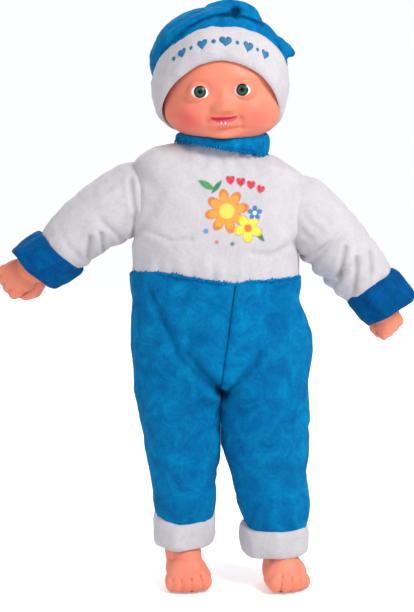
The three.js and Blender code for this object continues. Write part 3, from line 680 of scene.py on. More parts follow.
def make_cap():
    rows, columns = 46, 320
    t = circle(columns)
    s = np.sin(np.linspace(-math.pi / 2, math.pi / 2, rows))
    outer = np.stack([brim_outer(t, np.full_like(t, v)) for v in s])
    inner = np.stack([outer[-1] * (1 - k) + outer[0] * k for k in np.linspace(0, 1, 6)[1:-1]])
    p = np.concatenate([outer, inner])
    q = cap(p)
    n = grid_normals(q)
    flat = q.reshape(-1, 3)
    h = 0.7 * lumps(flat, 18, 3) + 0.3 * lumps(flat, 6, 5)
    h = h.reshape(q.shape[:2])
    h[rows:] = 0
    q = q + n * h[..., None]
    faces = grid_faces(len(p), columns) + join_ends(len(p), columns)
    brim = build("cap_brim", q.reshape(-1, 3), faces, WHITE)
    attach(brim, "cap")
    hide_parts("hat_brim")

    # crown: a dome, its long end rolled over the top to the doll's left, and the point hanging beside it
    dome = [(8, 0, 0, 52.5, 55.5), (13, -1.5, 0, 56, 58.5), (22, -3, 0, 58.5, 60.5), (30, -4, 0, 56.5, 58),
            (38, -5, 0, 51, 53), (45, -6, -1, 43, 45.5), (51, -6, -2, 33, 34), (55.5, -5, -4, 19, 20),
            (57.5, -5, -4, 0.5, 0.5)]
    z = np.concatenate([np.linspace(8, 49, 48), 49 + 8.5 * np.sin(np.linspace(0.05, math.pi / 2, 26))])
    cx, cy, rx, ry = table(dome, z)
    t = circle(160)
    p = ellipses(cx, cy, rx, ry, z, t)
    # the base follows the brim
    edge = brim_outer(t, np.ones_like(t))[:, 2] - 17.0
    p[..., 2] += edge[None] * smooth(34, 12, z)[:, None]
    points, faces = capped(p, (0, 0, 8), (-5, -4, 57.6))
    pieces = [(cap(points), faces)]
    for line in (ROLL_LINE, FOLD_LINE, POINT_LINE):
        for (*a, ra), (*b, rb) in zip(line, line[1:]):
            pieces.append(capsule(a, b, ra, rb, 28, 8))
    points, faces = union(pieces)
    crown = build("cap_crown", points, faces, BLUE)
    merge(crown, 1.3, 4)
    shape(crown, crown_relief)
    # painted shade: darker in the crown's grooves and in the low places between its lumps
    shade(crown, -(crown_relief(drawn(crown)) + 1.6) / 3.4)
    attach(crown, "cap")
    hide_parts("hat_crown")
    make_motif()


def crown_relief(q):
    """How far the crown's cloth stands out at points q: soft lumps and the grooves between its folds."""
    x, z, front = q[:, 0], q[:, 2], smooth(12, 0, q[:, 1])

    def groove(line, depth, width):
        return depth * np.exp(-(line_distance(x, z, line) / width) ** 2) * front

    d = 0.8 * lumps(q, 22, 11) + 0.45 * lumps(q, 8, 13)
    d -= groove([(-50, 449), (-40, 460), (-29, 469), (-16, 476.5), (-5, 480.5), (6, 481.5)], 4.2, 1.9)
    d -= groove([(6, 481.5), (20, 479.5), (33, 475.5)], 4.6, 2.0)
    d -= 8.0 * np.exp(-(((x - 11.5) / 4.6) ** 2 + ((z - 485.5) / 3.2) ** 2)) * front
    d -= groove([(35, 474), (44, 464), (50, 454), (53, 443)], 3.0, 1.7)
    d -= groove([(-44, 470), (-28, 481), (-14, 488)], 1.5, 2.6)
    d -= groove([(2, 481), (-3, 475), (-10, 470)], 1.5, 2.2)
    d -= groove([(12, 480), (15, 474), (13, 469)], 1.4, 2.0)
    d -= groove([(28, 476), (33, 470), (40, 462)], 1.2, 2.2)
    return d


def merge(obj, voxel, smoothing):
    """Turns a mesh's overlapping pieces into one skin of voxels, in millimetres, and rounds the joins."""
    remesh = obj.modifiers.new("remesh", "REMESH")
    remesh.mode = "VOXEL"
    remesh.voxel_size = voxel / 1000
    remesh.use_smooth_shade = True
    rounding = obj.modifiers.new("smooth", "SMOOTH")
    rounding.factor = 0.5
    rounding.iterations = smoothing
    apply(obj)


def apply(obj):
    """Makes the modifiers' result the object's own mesh."""
    bpy.context.view_layer.update()
    evaluated = obj.evaluated_get(bpy.context.evaluated_depsgraph_get())
    mesh = bpy.data.meshes.new_from_object(evaluated)
    old = obj.data
    obj.modifiers.clear()
    obj.data = mesh
    bpy.data.meshes.remove(old)
    mesh.polygons.foreach_set("use_smooth", np.full(len(mesh.polygons), True))


def vertices(obj, kind="co"):
    """A mesh's vertex positions in metres, or with kind "normal" its vertex normals."""
    values = np.empty(len(obj.data.vertices) * 3)
    obj.data.vertices.foreach_get(kind, values)
    return values.reshape(-1, 3)


def drawn(obj):
    """A mesh's vertex positions as drawn, in millimetres on the doll."""
    return vertices(obj) * 1000 - SHIFT


def shape(obj, depth):
    """Moves each vertex along its normal by depth(points), in millimetres."""
    p = drawn(obj)
    p = p + vertices(obj, "normal") * depth(p)[:, None]
    obj.data.vertices.foreach_set("co", row(p).ravel())
    obj.data.update()


def make_motif():
    """Embroidered hearts and dots in an arc on the brim, each a raised satin-stitch pad."""
    pieces = []
    a = circle(28)
    height = 13 * np.cos(a) - 5 * np.cos(2 * a) - 2 * np.cos(3 * a) - np.cos(4 * a)
    heart = np.stack([16 * np.sin(a) ** 3, height], 1) / 16.0
    dot = np.stack([np.cos(a[::2]), np.sin(a[::2])], 1)
    # degrees round from the front, outline, half size
    places = [(-43, dot, 1.8), (-34.5, heart, 4.6), (-26, dot, 2.0), (-17, heart, 5.4), (-7.5, dot, 2.1),
              (2, heart, 5.8), (11.5, dot, 2.1), (20.5, heart, 5.4), (29, dot, 2.0), (36.5, heart, 4.6)]
    for degrees, outline, size in places:
        rings = []
        for share, lift in ((1.0, -0.9), (0.96, 0.1), (0.8, 0.55), (0.45, 0.85), (0.0001, 0.95)):
            u, v = (outline * size * share).T
            t = math.radians(degrees - 90) + u / (BRIM_Y + BRIM_THICK)
            s = np.clip(v / BRIM_HALF - 0.2, -1, 1)
            rings.append(brim_outer(t, s, BRIM_THICK + 0.1 + lift))
        k, last = len(outline), (len(rings) - 1) * len(outline)
        faces = grid_faces(len(rings), k)
        faces.append(tuple(last + j for j in range(k)))
        faces.append(tuple(reversed(range(k))))
        pieces.append((cap(np.concatenate(rings)), faces))
    points, faces = union(pieces)
    motif = build("cap_motif", points, faces, THREAD)
    recalc(motif)
    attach(motif, "cap")


# ---------------------------------------------------------------- body

WAIST_Z = 256.0
BODY = [
    # height, middle x, middle y, half width, half depth
    (250, -5, 0, 70.5, 45.5), (256, -5, 0, 72, 46.5), (262, -5, 0, 72.5, 47), (275, -5, 0, 73, 47),
    (295, -4, 0, 73, 46), (315, -2, 0, 73.5, 44), (335, -0.5, 0, 75, 41), (345, 0, 0, 75.3, 38),
    (352, 0, 0, 66, 35), (358, 0, 0, 54, 32),
    (363, 1, 0, 41, 29.2), (369, 1, 0, 30, 27.5), (374, 1, 0, 27, 26.5),
]
# the waist seam dips in the middle in front and is level behind
WAIST_LINE = [(-90, 265), (-72, 265.5), (-56, 267), (-41, 266), (-23, 262.8), (-2, 259.7), (14, 257.7),
              (26, 260.5), (47, 261.5), (64, 262), (90, 262)]


def waist(x, y):
    """Height of the waist seam at a place on the body."""
    front = np.interp(x, *np.array(WAIST_LINE, float).T)
    return WAIST_Z + (front - WAIST_Z) * smooth(16, -8, y)


def print_colours(q):
    """A plain daisy, a small flower, leaves and hearts printed on the chest. Returns colour and strength."""
    x, z = q[:, 0], q[:, 2]
    out = np.zeros((len(q), 4))
    front = q[:, 1] < -20

    def lay(mask, *rgb):
        cover(out, mask * front, rgb)

    def soft(d):
        return smooth(0.55, -0.55, d)

    def petals(cx, cz, inner, outer, count, phase):
        a = np.arctan2(z - cz, x - cx)
        r = np.hypot(x - cx, z - cz)
        lobe = np.abs(np.cos((a - phase) * count / 2)) ** 0.7
        return soft(r - (inner + (outer - inner) * lobe))

    def disc(cx, cz, r):
        return soft(np.hypot(x - cx, z - cz) - r)

    def leaf(cx, cz, angle, length, width):
        dx, dz = x - cx, z - cz
        u = dx * math.cos(angle) + dz * math.sin(angle)
        v = -dx * math.sin(angle) + dz * math.cos(angle)
        return soft(np.abs(v) - width * (1 - (u / length) ** 2)) * (np.abs(u) < length)

    def heart(cx, cz, size, tilt=0.0):
        dx, dz = (x - cx) / size, (z - cz) / size
        dx, dz = dx * math.cos(tilt) + dz * math.sin(tilt), -dx * math.sin(tilt) + dz * math.cos(tilt)
        f = (dx ** 2 + dz ** 2 - 1) ** 3 - dx ** 2 * dz ** 3
        return smooth(0.10, -0.10, f)

    lay(leaf(-12.5, 341, 2.62, 8.0, 2.7), 64, 150, 92)
    lay(leaf(-4, 339.5, 0.9, 7.0, 2.0), 48, 128, 84)
    lay(leaf(31, 300, -0.9, 7.5, 2.3), 48, 128, 84)
    lay(petals(4.5, 319.5, 9.0, 18.5, 8, 0.2), 232, 118, 40)
    lay(petals(4.5, 319.5, 7.0, 15.5, 8, 0.2), 247, 156, 62)
    lay(disc(4.5, 319.5, 6.2), 252, 208, 92)
    lay(petals(22, 305.5, 5.0, 12.2, 5, 0.9), 236, 188, 40)
    lay(petals(22, 305.5, 3.8, 10.6, 5, 0.9), 252, 224, 72)
    lay(disc(22, 305.5, 3.4), 236, 120, 60)
    lay(petals(27.5, 318, 2.2, 6.2, 5, 0.3), 48, 118, 184)
    lay(disc(27.5, 318, 1.7), 240, 236, 200)
    lay(disc(-13, 303, 2.0), 70, 150, 208)
    lay(disc(-4, 294, 1.5), 236, 120, 60)
    lay(disc(9, 292.5, 1.7), 64, 150, 92)
    for cx, cz, size, tilt in ((7.5, 344.5, 3.3, 0.1), (16, 343, 3.3, 0.0), (24.3, 340.6, 3.2, -0.15),
                               (32.2, 337, 3.0, -0.3)):
        lay(heart(cx, cz, size, tilt), 206, 44, 66)
    return out


# how far the shoulders stand up from side to side, the doll's right shoulder higher than its left
SHOULDER_LIFT = [(-80, 14), (-70, 17), (-57, 18), (-40, 14), (-27, 8), (0, 3), (27, 2), (41, 5), (57, 2.2),
                 (70, 0.5), (80, -1)]
FLAP_HALF, FLAP_LOW, FLAP_HIGH = 33.6, 258.0, 345.5    # the back flap's half width, lower and upper edge
POCKET_HALF, POCKET_LOW, POCKET_HIGH = 29.4, 269.6, 342.4
POCKET_Y = -17.2                                       # the pocket's lining, seen from the back its floor
COLLAR_FLAT = 0.92                                     # the collar's depth as a share of its width


def make_top():
    """The white velour upper body: soft puckers above the waist and round the neck and armholes."""
    rows = 170
    front = np.linspace(-math.pi * 0.74, -math.pi * 0.26, 140, endpoint=False)
    rest = np.linspace(-math.pi * 0.26, math.pi * 1.26, 220, endpoint=False)
    a = np.concatenate([front, rest])
    z = np.linspace(252, 374, rows)
    cx, cy, rx, ry = (v[:, None] for v in table(BODY, z))
    # rounder than an ellipse at the waist, and boxier across the chest
    power = (0.92 - 0.24 * smooth(272, 305, z) * smooth(362, 350, z))[:, None]
    reach = (np.abs(np.cos(a)) / rx) ** (2 / power) + (np.abs(np.sin(a)) / ry) ** (2 / power)
    reach = reach ** (-power / 2)
    x, y = cx + reach * np.cos(a), cy + reach * np.sin(a)
    h = np.repeat(z[:, None], len(a), 1)
    # the lower rows follow the waist seam, the shoulders slope down to the doll's left
    drop = (waist(x, y) - 258) * smooth(300, 256, h)
    lift = np.interp(x, *np.array(SHOULDER_LIFT, float).T)
    h = h + drop + smooth(312, 350, h) * lift
    p = np.stack([x, y, h], 2)
    n = grid_normals(p)
    q = p.reshape(-1, 3)
    above = q[:, 2] - waist(q[:, 0], q[:, 1])
    angle = np.arctan2(q[:, 1], q[:, 0])
    pucker = np.sin(angle * 19 + 1.5 * lumps(q, 30, 21)) + 0.6 * np.sin(angle * 31 + 2 + 2 * lumps(q, 22, 22))
    d = 0.8 * pucker * np.exp(-np.maximum(above, 0) / 10) * smooth(-1, 4, above)
    d -= 3.4 * smooth(1.5, -3, above) + 0.8                             # drawn in at the seam
    neck = np.hypot(q[:, 0] - HEAD_X, q[:, 1])
    gather = np.sin(angle * 16 + 2 * lumps(q, 25, 24))
    d += 0.5 * gather * smooth(62, 40, neck) * smooth(345, 358, q[:, 2])
    d += 1.3 * lumps(q, 46, 25) + 0.3 * lumps(q, 17, 26) + 0.08 * lumps(q, 4, 27, 1)
    for s, sz in ((-1, 328), (1, 316)):                                 # drawn in along the armholes
        r = np.hypot(q[:, 2] - sz, q[:, 1] * 0.9)
        near = smooth(40, 62, s * q[:, 0])
        under = smooth(sz + 28, sz + 8, q[:, 2])
        d -= 2.0 * near * under * np.exp(-((r - 33) / 4) ** 2)
        around = np.arctan2(q[:, 2] - sz, q[:, 1])
        d += 0.6 * near * under * np.sin(around * 9 + s) * np.exp(-((r - 38) / 9) ** 2)
        fold = line_distance(q[:, 0], q[:, 2], [(s * 66, sz - 24), (s * 42, sz - 34), (s * 26, sz - 32)])
        d -= 1.5 * np.exp(-(fold / 3.2) ** 2) * (q[:, 1] < 0)
    q = q + n.reshape(-1, 3) * d[:, None]
    t = np.arctan2(q[:, 1] / COLLAR_FLAT, q[:, 0] - HEAD_X)
    limit = collar_edge(t) + 2.0 + 1.6 * np.maximum(neck - 42, 0)
    # a soft minimum, two millimetres wide, that keeps the top's edge inside the collar
    width, middle = 2.0, 360
    above_limit = np.exp((middle - q[:, 2]) / width) + np.exp((middle - limit) / width)
    q[:, 2] = np.where(q[:, 2] > 340, middle - width * np.log(above_limit), q[:, 2])
    # the pocket in the back: the surface turns in round the opening to a lining that holds the sound box
    behind = (q[:, 1] > 20) & (q[:, 2] > FLAP_LOW + 1.5) & (q[:, 2] < FLAP_HIGH - 1)
    inside = behind & (np.abs(q[:, 0]) < FLAP_HALF - 1)
    edge = behind & ~inside & (np.abs(q[:, 0]) < FLAP_HALF + 1.3)
    q[edge, 0] = np.sign(q[edge, 0]) * FLAP_HALF
    q[inside, 0] = np.clip(q[inside, 0], -POCKET_HALF, POCKET_HALF)
    q[inside, 2] = np.clip(q[inside, 2], POCKET_LOW, POCKET_HIGH)
    q[inside, 1] = POCKET_Y
    p = q.reshape(p.shape)
    top = tube("velour_top", p, WHITE_PRINT)
    colours = print_colours(p.reshape(-1, 3))
    # painted shade in the drawn-in cloth just above the waist seam
    shade(top, 0.3 * smooth(2.5, 0.5, above))
    paint(top, "print", np.concatenate([colours, np.zeros((2, 4))]))
    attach(top, "torso")
    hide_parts("upper_body")


# ---------------------------------------------------------------- sleeves, cuffs

# Each arm's side, shoulder, slope in degrees, where its gathers fade into the cuff, and its cuff: tilt, shift
# across the arm, near and far edge. Folds across the sleeve: place along it, width, lean and depth. Wrinkles
# are lines in x and z.
ARMS = {
    "right": dict(side=-1, x=-70.0, z=328.0, slope=34.2, tuck=84, cuff=(0.25, 2.2, -15.5, 14.0),
                  folds=[(26, 3.2, 0.2, 1.5), (45, 3.6, -0.3, 1.3), (64, 3.0, 0.25, 1.2)],
                  wrinkles=[[(-110, 297), (-113, 280)], [(-101, 300), (-100, 285)],
                            [(-76, 345), (-72, 318), (-74, 296)]]),
    "left": dict(side=1, x=70.0, z=316.0, slope=47.8, tuck=87, cuff=(0.13, 2.0, -13.0, 17.8),
                 folds=[(24, 3.0, 0.35, 2.0), (38, 3.4, -0.25, 2.4),
                        (53, 3.2, 0.2, 2.2), (66, 3.0, -0.3, 1.8)],
                 wrinkles=[[(114, 279), (112, 247)], [(127, 284), (126, 258)], [(104, 288), (99, 262)]]),
}
ARM_END = 96.0
SLEEVES = {
    # along the arm, offset across it, radius across, radius fore and aft
    "right": [(-27, 2, 12, 12), (-21, 2.5, 20, 18), (-12, 3, 27.5, 24.5), (-4, 3, 31, 27.5),
              (4, 3.2, 31.4, 29.5), (12, 4.8, 31.0, 30.5), (31, 6.6, 29.0, 29.5), (53, 6.8, 26.8, 27.5),
              (69, 5.0, 24.8, 26), (77, 3.4, 23.6, 24.5), (83, 2.5, 22.2, 22.4), (88, 2, 18.8, 18.8),
              (95, 2, 18.8, 18.8)],
    "left": [(-30, 1, 11, 11), (-24, 2.2, 19, 18), (-14, 2.2, 26.0, 24.5), (-5, 1.2, 28.2, 27.5),
             (3, 1.6, 28.8, 29.5), (12, 2.2, 28.6, 30.5), (37, 3.4, 28.8, 29), (55, 2.4, 28.0, 28),
             (69, 1.8, 26.2, 27), (79, 1.4, 24.2, 25), (86, 1.6, 22.4, 22.6), (91, 2, 18.8, 18.8),
             (97, 2, 18.8, 18.8)],
}


def limb_space(arm):
    """Origin and axes of an arm: along it, across it (up and out), and forward."""
    a = math.radians(arm["slope"])
    along = np.array([arm["side"] * math.cos(a), 0, -math.sin(a)])
    forward = np.array([0, -1.0, 0])
    across = np.cross(forward, along) * arm["side"]
    if across[2] < 0:
        across = -across
    return np.array([arm["x"], 0, arm["z"]]), along, across, forward


def place(arm, p):
    """Points (along, across, forward) on an arm, to the doll's space."""
    o, along, across, forward = limb_space(arm)
    p = np.asarray(p, float)
    return o + p[..., :1] * along + p[..., 1:2] * across + p[..., 2:3] * forward


def ring_columns(arm, count):
    """Angles that run anticlockwise seen from the far end of the limb."""
    _, along, across, forward = limb_space(arm)
    t = circle(count)
    return t if np.dot(np.cross(across, forward), along) > 0 else -t


def make_sleeve(name, arm):
    """A stuffed sleeve with slack folds, gathered at the armhole and the cuff."""
    rows, columns = 120, 150
    u = np.linspace(SLEEVES[name][0][0], SLEEVES[name][-1][0], rows)
    off, ra, rf = table(SLEEVES[name], u)
    t = ring_columns(arm, columns)
    p = np.roll(ellipses(off, np.zeros(rows), ra, rf, u, t), 1, axis=2)
    q = place(arm, p)
    n = grid_normals(q)
    f = q.reshape(-1, 3)
    along, across, forward = p.reshape(-1, 3).T
    angle = np.arctan2(forward, across)
    d = 1.1 * lumps(f, 34, 41 + arm["side"]) + 0.3 * lumps(f, 13, 43) + 0.08 * lumps(f, 4, 45, 1)
    gather = np.sin(angle * 15 + 2 * lumps(f, 20, 46))
    d += 0.9 * gather * (0.7 * np.exp(-np.abs(along - 12) / 9) + 0.5 * np.exp(-np.abs(along - 82) / 8))
    # slack folds across the sleeve, deeper on its lower side
    for at, width, lean, depth in arm["folds"]:
        bend = along - at - lean * forward + 2.5 * lumps(f, 28, int(at))
        weight = smooth(24, -18, across) * 0.8 + 0.2
        d -= depth * weight * np.exp(-(bend / width) ** 2)
        d += 0.45 * depth * weight * np.exp(-((bend - width * 1.9) / (width * 1.3)) ** 2)
    d += 1.2 * np.exp(-((along - 68) / 7) ** 2) * smooth(12, -20, across)       # bags over the cuff
    d *= smooth(arm["tuck"] + 0.2 * across, arm["tuck"] - 12 + 0.2 * across, along)
    # painted shade along the sleeve's wrinkles, which the velour reads to darken its colour
    dark = np.zeros(len(f))
    for line in arm["wrinkles"]:
        away = line_distance(f[:, 0], f[:, 2], line)
        facing = smooth(4, -10, f[:, 1]) * smooth(84, 72, along)
        d += facing * (0.8 * np.exp(-((away - 4.5) / 3) ** 2) - 2.0 * np.exp(-(away / 2.0) ** 2))
        dark = np.maximum(dark, 0.30 * facing * np.exp(-(away / 2.0) ** 2))
    q = (f + n.reshape(-1, 3) * d[:, None]).reshape(q.shape)
    sleeve = tube(name + "_sleeve", q, WHITE)
    shade(sleeve, dark)
    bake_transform(sleeve)
    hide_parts(name + "_arm")


def section(middle, half, count, power):
    """A rounded rectangle section: offsets in radius and height, from the inner face round the outside."""
    a = circle(count)
    out, up = -np.cos(a), -np.sin(a)
    r = middle[0] + half[0] * np.sign(out) * np.abs(out) ** power[0]
    h = middle[1] + half[1] * np.sign(up) * np.abs(up) ** power[1]
    return r, h


def band(name, p, relief, material):
    """A ring of cloth from the rows of its section, its surface moved out by relief."""
    n = grid_normals(np.concatenate([p[-1:], p, p[:1]]))[1:-1]
    p = p + n * relief[..., None]
    rows, columns = p.shape[:2]
    faces = grid_faces(rows, columns) + join_ends(rows, columns)
    obj = build(name, p.reshape(-1, 3), faces, material)
    recalc(obj)
    return obj


def cuff(name, to_world, t, inner, outer, low, high, material, body, node, seed):
    """A folded band of velour: rounded edges, a soft fold line and slight waves."""
    thick = outer - inner
    rr, hh = section(((inner + outer) / 2, (high + low) / 2), (thick / 2, (high - low) / 2), 33, (0.55, 0.7))
    r = np.repeat(rr[:, None], len(t), 1)
    h = np.repeat(hh[:, None], len(t), 1)
    out = smooth(inner + thick * 0.45, outer, r)
    r = r + out * (0.7 * np.sin(3 * t + seed) + 0.45 * np.sin(8 * t + 2 * seed))
    h = h + 0.9 * np.sin(2 * t + seed) + 0.5 * np.sin(5 * t + seed * 1.7)
    p = to_world(h, r * np.cos(t), r * np.sin(t))
    f = p.reshape(-1, 3)
    relief = (0.8 * lumps(f, 12, seed) + 0.3 * lumps(f, 4, seed + 3)).reshape(r.shape) * out
    obj = band(name, p, relief, material)
    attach(obj, body)
    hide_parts(node)


def make_sleeve_cuff(name, arm):
    """The deep blue cuff at the end of a sleeve, tilted a little across the arm."""
    tilt, aside, low, high = arm["cuff"]

    def on_arm(h, c, s):
        return place(arm, np.stack([ARM_END + h + tilt * c, c + aside, s], -1))

    cuff(name + "_velour_cuff", on_arm, ring_columns(arm, 150), 18.9, 25.3, low, high, DEEP,
         name + "_arm", name + "_sleeve_cuff", 5 + arm["side"])


def recalc(obj):
    """Turns every face outward."""
    bm = bmesh.new()
    bm.from_mesh(obj.data)
    bmesh.ops.recalc_face_normals(bm, faces=bm.faces)
    bm.to_mesh(obj.data)
    bm.free()


# ---------------------------------------------------------------- hands and feet

def capsule(a, b, ra, rb, sides=20, caps=6):
    """A closed rounded rod from a to b."""
    a, b = np.asarray(a, float), np.asarray(b, float)
    d = b - a
    length = np.linalg.norm(d)
    d = d / max(length, 1e-9)
    other = np.array([0, 0, 1.0]) if abs(d[2]) < 0.9 else np.array([1.0, 0, 0])
    u = np.cross(other, d)
    u /= np.linalg.norm(u)
    v = np.cross(d, u)
    rings = []
    for k in range(1, caps + 1):
        w = math.pi / 2 * (1 - k / caps)
        rings.append((a - d * ra * math.sin(w), ra * math.cos(w)))
    for k in range(0, caps):
        w = math.pi / 2 * k / caps
        rings.append((b + d * rb * math.sin(w), rb * math.cos(w)))
    t = circle(sides)
    p = np.stack([c + r * (np.cos(t)[:, None] * u + np.sin(t)[:, None] * v) for c, r in rings])
    return capped(p, a - d * ra, b + d * rb)


def ellipsoid(c, r, turn=0.0):
    """An ellipsoid about c with half widths r, turned about Z."""
    points, faces = capsule((0, 0, -0.001), (0, 0, 0.001), 1, 1, 28, 9)
    p = points * np.asarray(r, float)
    k, s = math.cos(turn), math.sin(turn)
    p = np.stack([p[:, 0] * k - p[:, 1] * s, p[:, 0] * s + p[:, 1] * k, p[:, 2]], 1)
    return p + np.asarray(c, float), faces


def union(pieces):
    """The points and faces of several pieces in one list each."""
    points, faces, count = [], [], 0
    for p, f in pieces:
        points.append(p)
        faces += [tuple(i + count for i in x) for x in f]
        count += len(p)
    return np.concatenate(points), faces


def hand_pieces(curl):
    """A chubby baby hand in (along, across, forward), from the sleeve's end: its back faces across."""
    pieces = [capsule((-5, 0, 0), (16, 0, 0), 13.0, 13.6), ellipsoid((26, 0.5, 0), (14.5, 11.5, 15.5))]
    pieces += [ellipsoid((20, -3, 6), (11, 9, 9)), ellipsoid((24, -4, -7), (10, 8, 8))]
    for i in range(4):
        f = 10.8 - 7.4 * i
        reach = (10.5, 12.2, 11.6, 9.4)[i]
        r = (5.0, 5.1, 4.9, 4.4)[i]
        k0 = np.array([33.5, 2.5 - abs(i - 1.4) * 0.7, f * 0.96])
        a1 = math.radians(curl * 0.55)
        k1 = k0 + reach * np.array([math.cos(a1), -math.sin(a1), 0.02 * (1.5 - i)])
        a2 = math.radians(curl * 1.45)
        k2 = k1 + reach * 0.62 * np.array([math.cos(a2), -math.sin(a2), 0.0])
        pieces += [capsule(k0, k1, r + 0.5, r), capsule(k1, k2, r, r - 0.6)]
    pieces.append(capsule((16, -5, 12), (25, -8, 17), 6.6, 6.0))
    pieces.append(capsule((25, -8, 17), (34, -11, 15.5), 6.0, 5.2))
    return pieces


def make_hand(name, arm, curl, roll, pitch, reach, size=1.0, offset=0.0, lean=0.0):
    """A fist, with its fingers' curl, its roll about the arm and its bend at the wrist in degrees."""
    p, faces = union(hand_pieces(curl))
    wrist = 10.0
    bend = smooth(2, 24, p[:, 0]) * math.radians(pitch)
    x, y = p[:, 0] - wrist, p[:, 1]
    p[:, 0] = wrist + x * np.cos(bend) + y * np.sin(bend)
    p[:, 1] = -x * np.sin(bend) + y * np.cos(bend)
    k, s = math.cos(math.radians(roll)), math.sin(math.radians(roll))
    # roll turns the back of the hand to the front, the thumb underneath
    p = np.stack([p[:, 0], p[:, 1] * k - p[:, 2] * s, p[:, 1] * s + p[:, 2] * k], 1)
    far = smooth(2, 14, p[:, 0])
    p[:, 1:] *= (1 + (size - 1) * far)[:, None]
    p[:, 1] += offset * far + lean * np.maximum(p[:, 0] - 8, 0)
    p[:, 0] = ARM_END + np.where(p[:, 0] > 0, p[:, 0] * reach, p[:, 0])
    hand = build(name + "_vinyl_hand", place(arm, p), faces, SKIN)
    recalc(hand)
    merge(hand, 0.9, 11)
    paint_blush_and_crease_shade(hand)
    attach(hand, name + "_hand")
    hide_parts(name + "_hand")


def paint_blush_and_crease_shade(obj):
    """Painted shade, a darker warm colour, in the creases between fingers and toes, and a ruddy blush on their
    most rounded parts.
    """
    p, n = drawn(obj), vertices(obj, "normal")
    edges = np.empty(len(obj.data.edges) * 2, np.int32)
    obj.data.edges.foreach_get("vertices", edges)
    edges = edges.reshape(-1, 2)
    a, b = edges[:, 0], edges[:, 1]
    step = p[b] - p[a]
    length2 = np.einsum("ij,ij->i", step, step)
    bend = np.einsum("ij,ij->i", n[b] - n[a], step) / np.maximum(length2, 1e-9)
    total = np.bincount(a, bend, len(p)) + np.bincount(b, bend, len(p))
    count = np.bincount(a, minlength=len(p)) + np.bincount(b, minlength=len(p))
    curve = total / np.maximum(count, 1)
    for _ in range(3):
        around = np.bincount(a, curve[b], len(p)) + np.bincount(b, curve[a], len(p))
        curve = 0.5 * curve + 0.5 * around / np.maximum(count, 1)
    # painted shade in the hollows; the ruddy tint on the most rounded parts is blush
    hollow = smooth(0.0, -0.22, curve)
    ruddy = smooth(0.10, 0.24, curve) * 0.35
    colours = np.zeros((len(p), 4))
    colours[:, :3] = np.where((hollow > ruddy)[:, None], srgb(186, 84, 66)[:3], srgb(236, 116, 94)[:3])
    colours[:, 3] = np.maximum(hollow * 0.85, ruddy)
    paint(obj, "paint", colours)


FLOOR = 9.5                                            # the soles, below the drawing's zero
INSTEP = 26                                            # the height below which a foot is stretched downwards
FEET = {"right": dict(side=-1, x=-32.3, turn=-13), "left": dict(side=1, x=51.3, turn=17)}


def make_foot(name, foot):
    """A plump foot under its ankle, with five toes."""
    s = -foot["side"]                                  # the big toe's side
    pieces = [capsule((0, 0, 22), (0, 1, 44), 16.2, 16.0), capsule((0, -2, 30), (s * 2, -15, 14), 15.5, 14),
              ellipsoid((0, -4, 12), (16.5, 24, 13)),
              ellipsoid((0, 8, 12.5), (13.5, 13.5, 13)), ellipsoid((s * 1.5, -18, 11), (20, 13.8, 12)),
              ellipsoid((0, -6, 19), (13.5, 17, 9)), ellipsoid((s * 1.2, -20.2, 10.4), (19.0, 11.6, 9.2))]
    toes = [(12.6, -26.0, 8.0, 7.2), (4.4, -28.6, 7.0, 6.2), (-3.2, -28.0, 6.6, 5.9),
            (-10.0, -25.6, 6.2, 5.6), (-15.8, -21.6, 5.8, 5.2)]
    for x, y, z, r in toes:
        pieces.append(capsule((s * x * 0.9, y + 9, z + 1), (s * x, y, z), r, r * 0.98))
    points, faces = union(pieces)
    x, y, z = points.T
    inner = smooth(4, 18, s * x)
    x = x - s * 3.6 * inner * np.exp(-((z - 16) / 5.5) ** 2)        # a flatter instep
    x = x - s * 1.0 * smooth(14, 28, z)
    a = math.radians(foot["turn"]) * foot["side"]
    k, si = math.cos(a), math.sin(a)
    z = np.where(z < INSTEP, z * (INSTEP + FLOOR) / INSTEP - FLOOR, z)
    p = np.stack([x * k - y * si + foot["x"], x * si + y * k, z], 1)
    obj = build(name + "_vinyl_foot", p, faces, SKIN)
    recalc(obj)
    merge(obj, 0.9, 9)
    co = vertices(obj)
    co[:, 2] = np.maximum(co[:, 2], 0.0002)            # flat soles, just over the floor
    obj.data.vertices.foreach_set("co", co.ravel())
    obj.data.update()
    paint_blush_and_crease_shade(obj)
    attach(obj, name + "_foot")
    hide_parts(name + "_foot")


# ---------------------------------------------------------------- trousers

# Each leg's middle line (hip, knee, calf, ankle), its shin's half width and middle, the middle and half width
# above the knee and at the thigh, its lower end and its half width there. Then its turn-up: shift, half
# width, height, low and high edge, and how far it dips in front at the top and at the bottom.
LEGS = {
    "right": dict(side=-1, hip=-37.4, knee=-33.5, calf=-30.8, ankle=-31.0, shin=29.5, shin_x=-32.25,
                  knee_row=(-32, 34.6), thigh_row=(-34.6, 37.0), end=50.5, hem=24.9,
                  turn_up=(-1.5, 27.2, 40.0, -11.5, 17.0, 6.2, 0.6)),
    "left": dict(side=1, hip=38.2, knee=42.0, calf=45.9, ankle=47.5, shin=32.8, shin_x=41.95,
                 knee_row=(37.9, 36.9), thigh_row=(37.1, 39.4), end=45.0, hem=27.2,
                 turn_up=(-0.6, 30.0, 37.5, -16.0, 10.5, 4.3, 1.5)),
}
CREASES = {
    "right": [[(1, 165), (-20, 182), (-37, 200), (-46, 220), (-54, 240), (-60, 250)],
              [(-3, 172), (-16, 186), (-28, 200)]],
    "left": [[(3, 163), (16, 177), (28, 188), (33, 200)]],
}
HIPS = [
    # height, middle x, half width, half depth
    (46, 0, 74, 44), (150, 0, 76, 40), (180, 1, 77.5, 42.5), (200, 1, 79, 45), (215, 0.5, 79, 46.5),
    (230, -2, 76, 47), (239, -4.5, 72, 47), (247, -5, 73.5, 48.3), (254, -5, 74, 48.8), (262, -5, 74, 48.6),
]
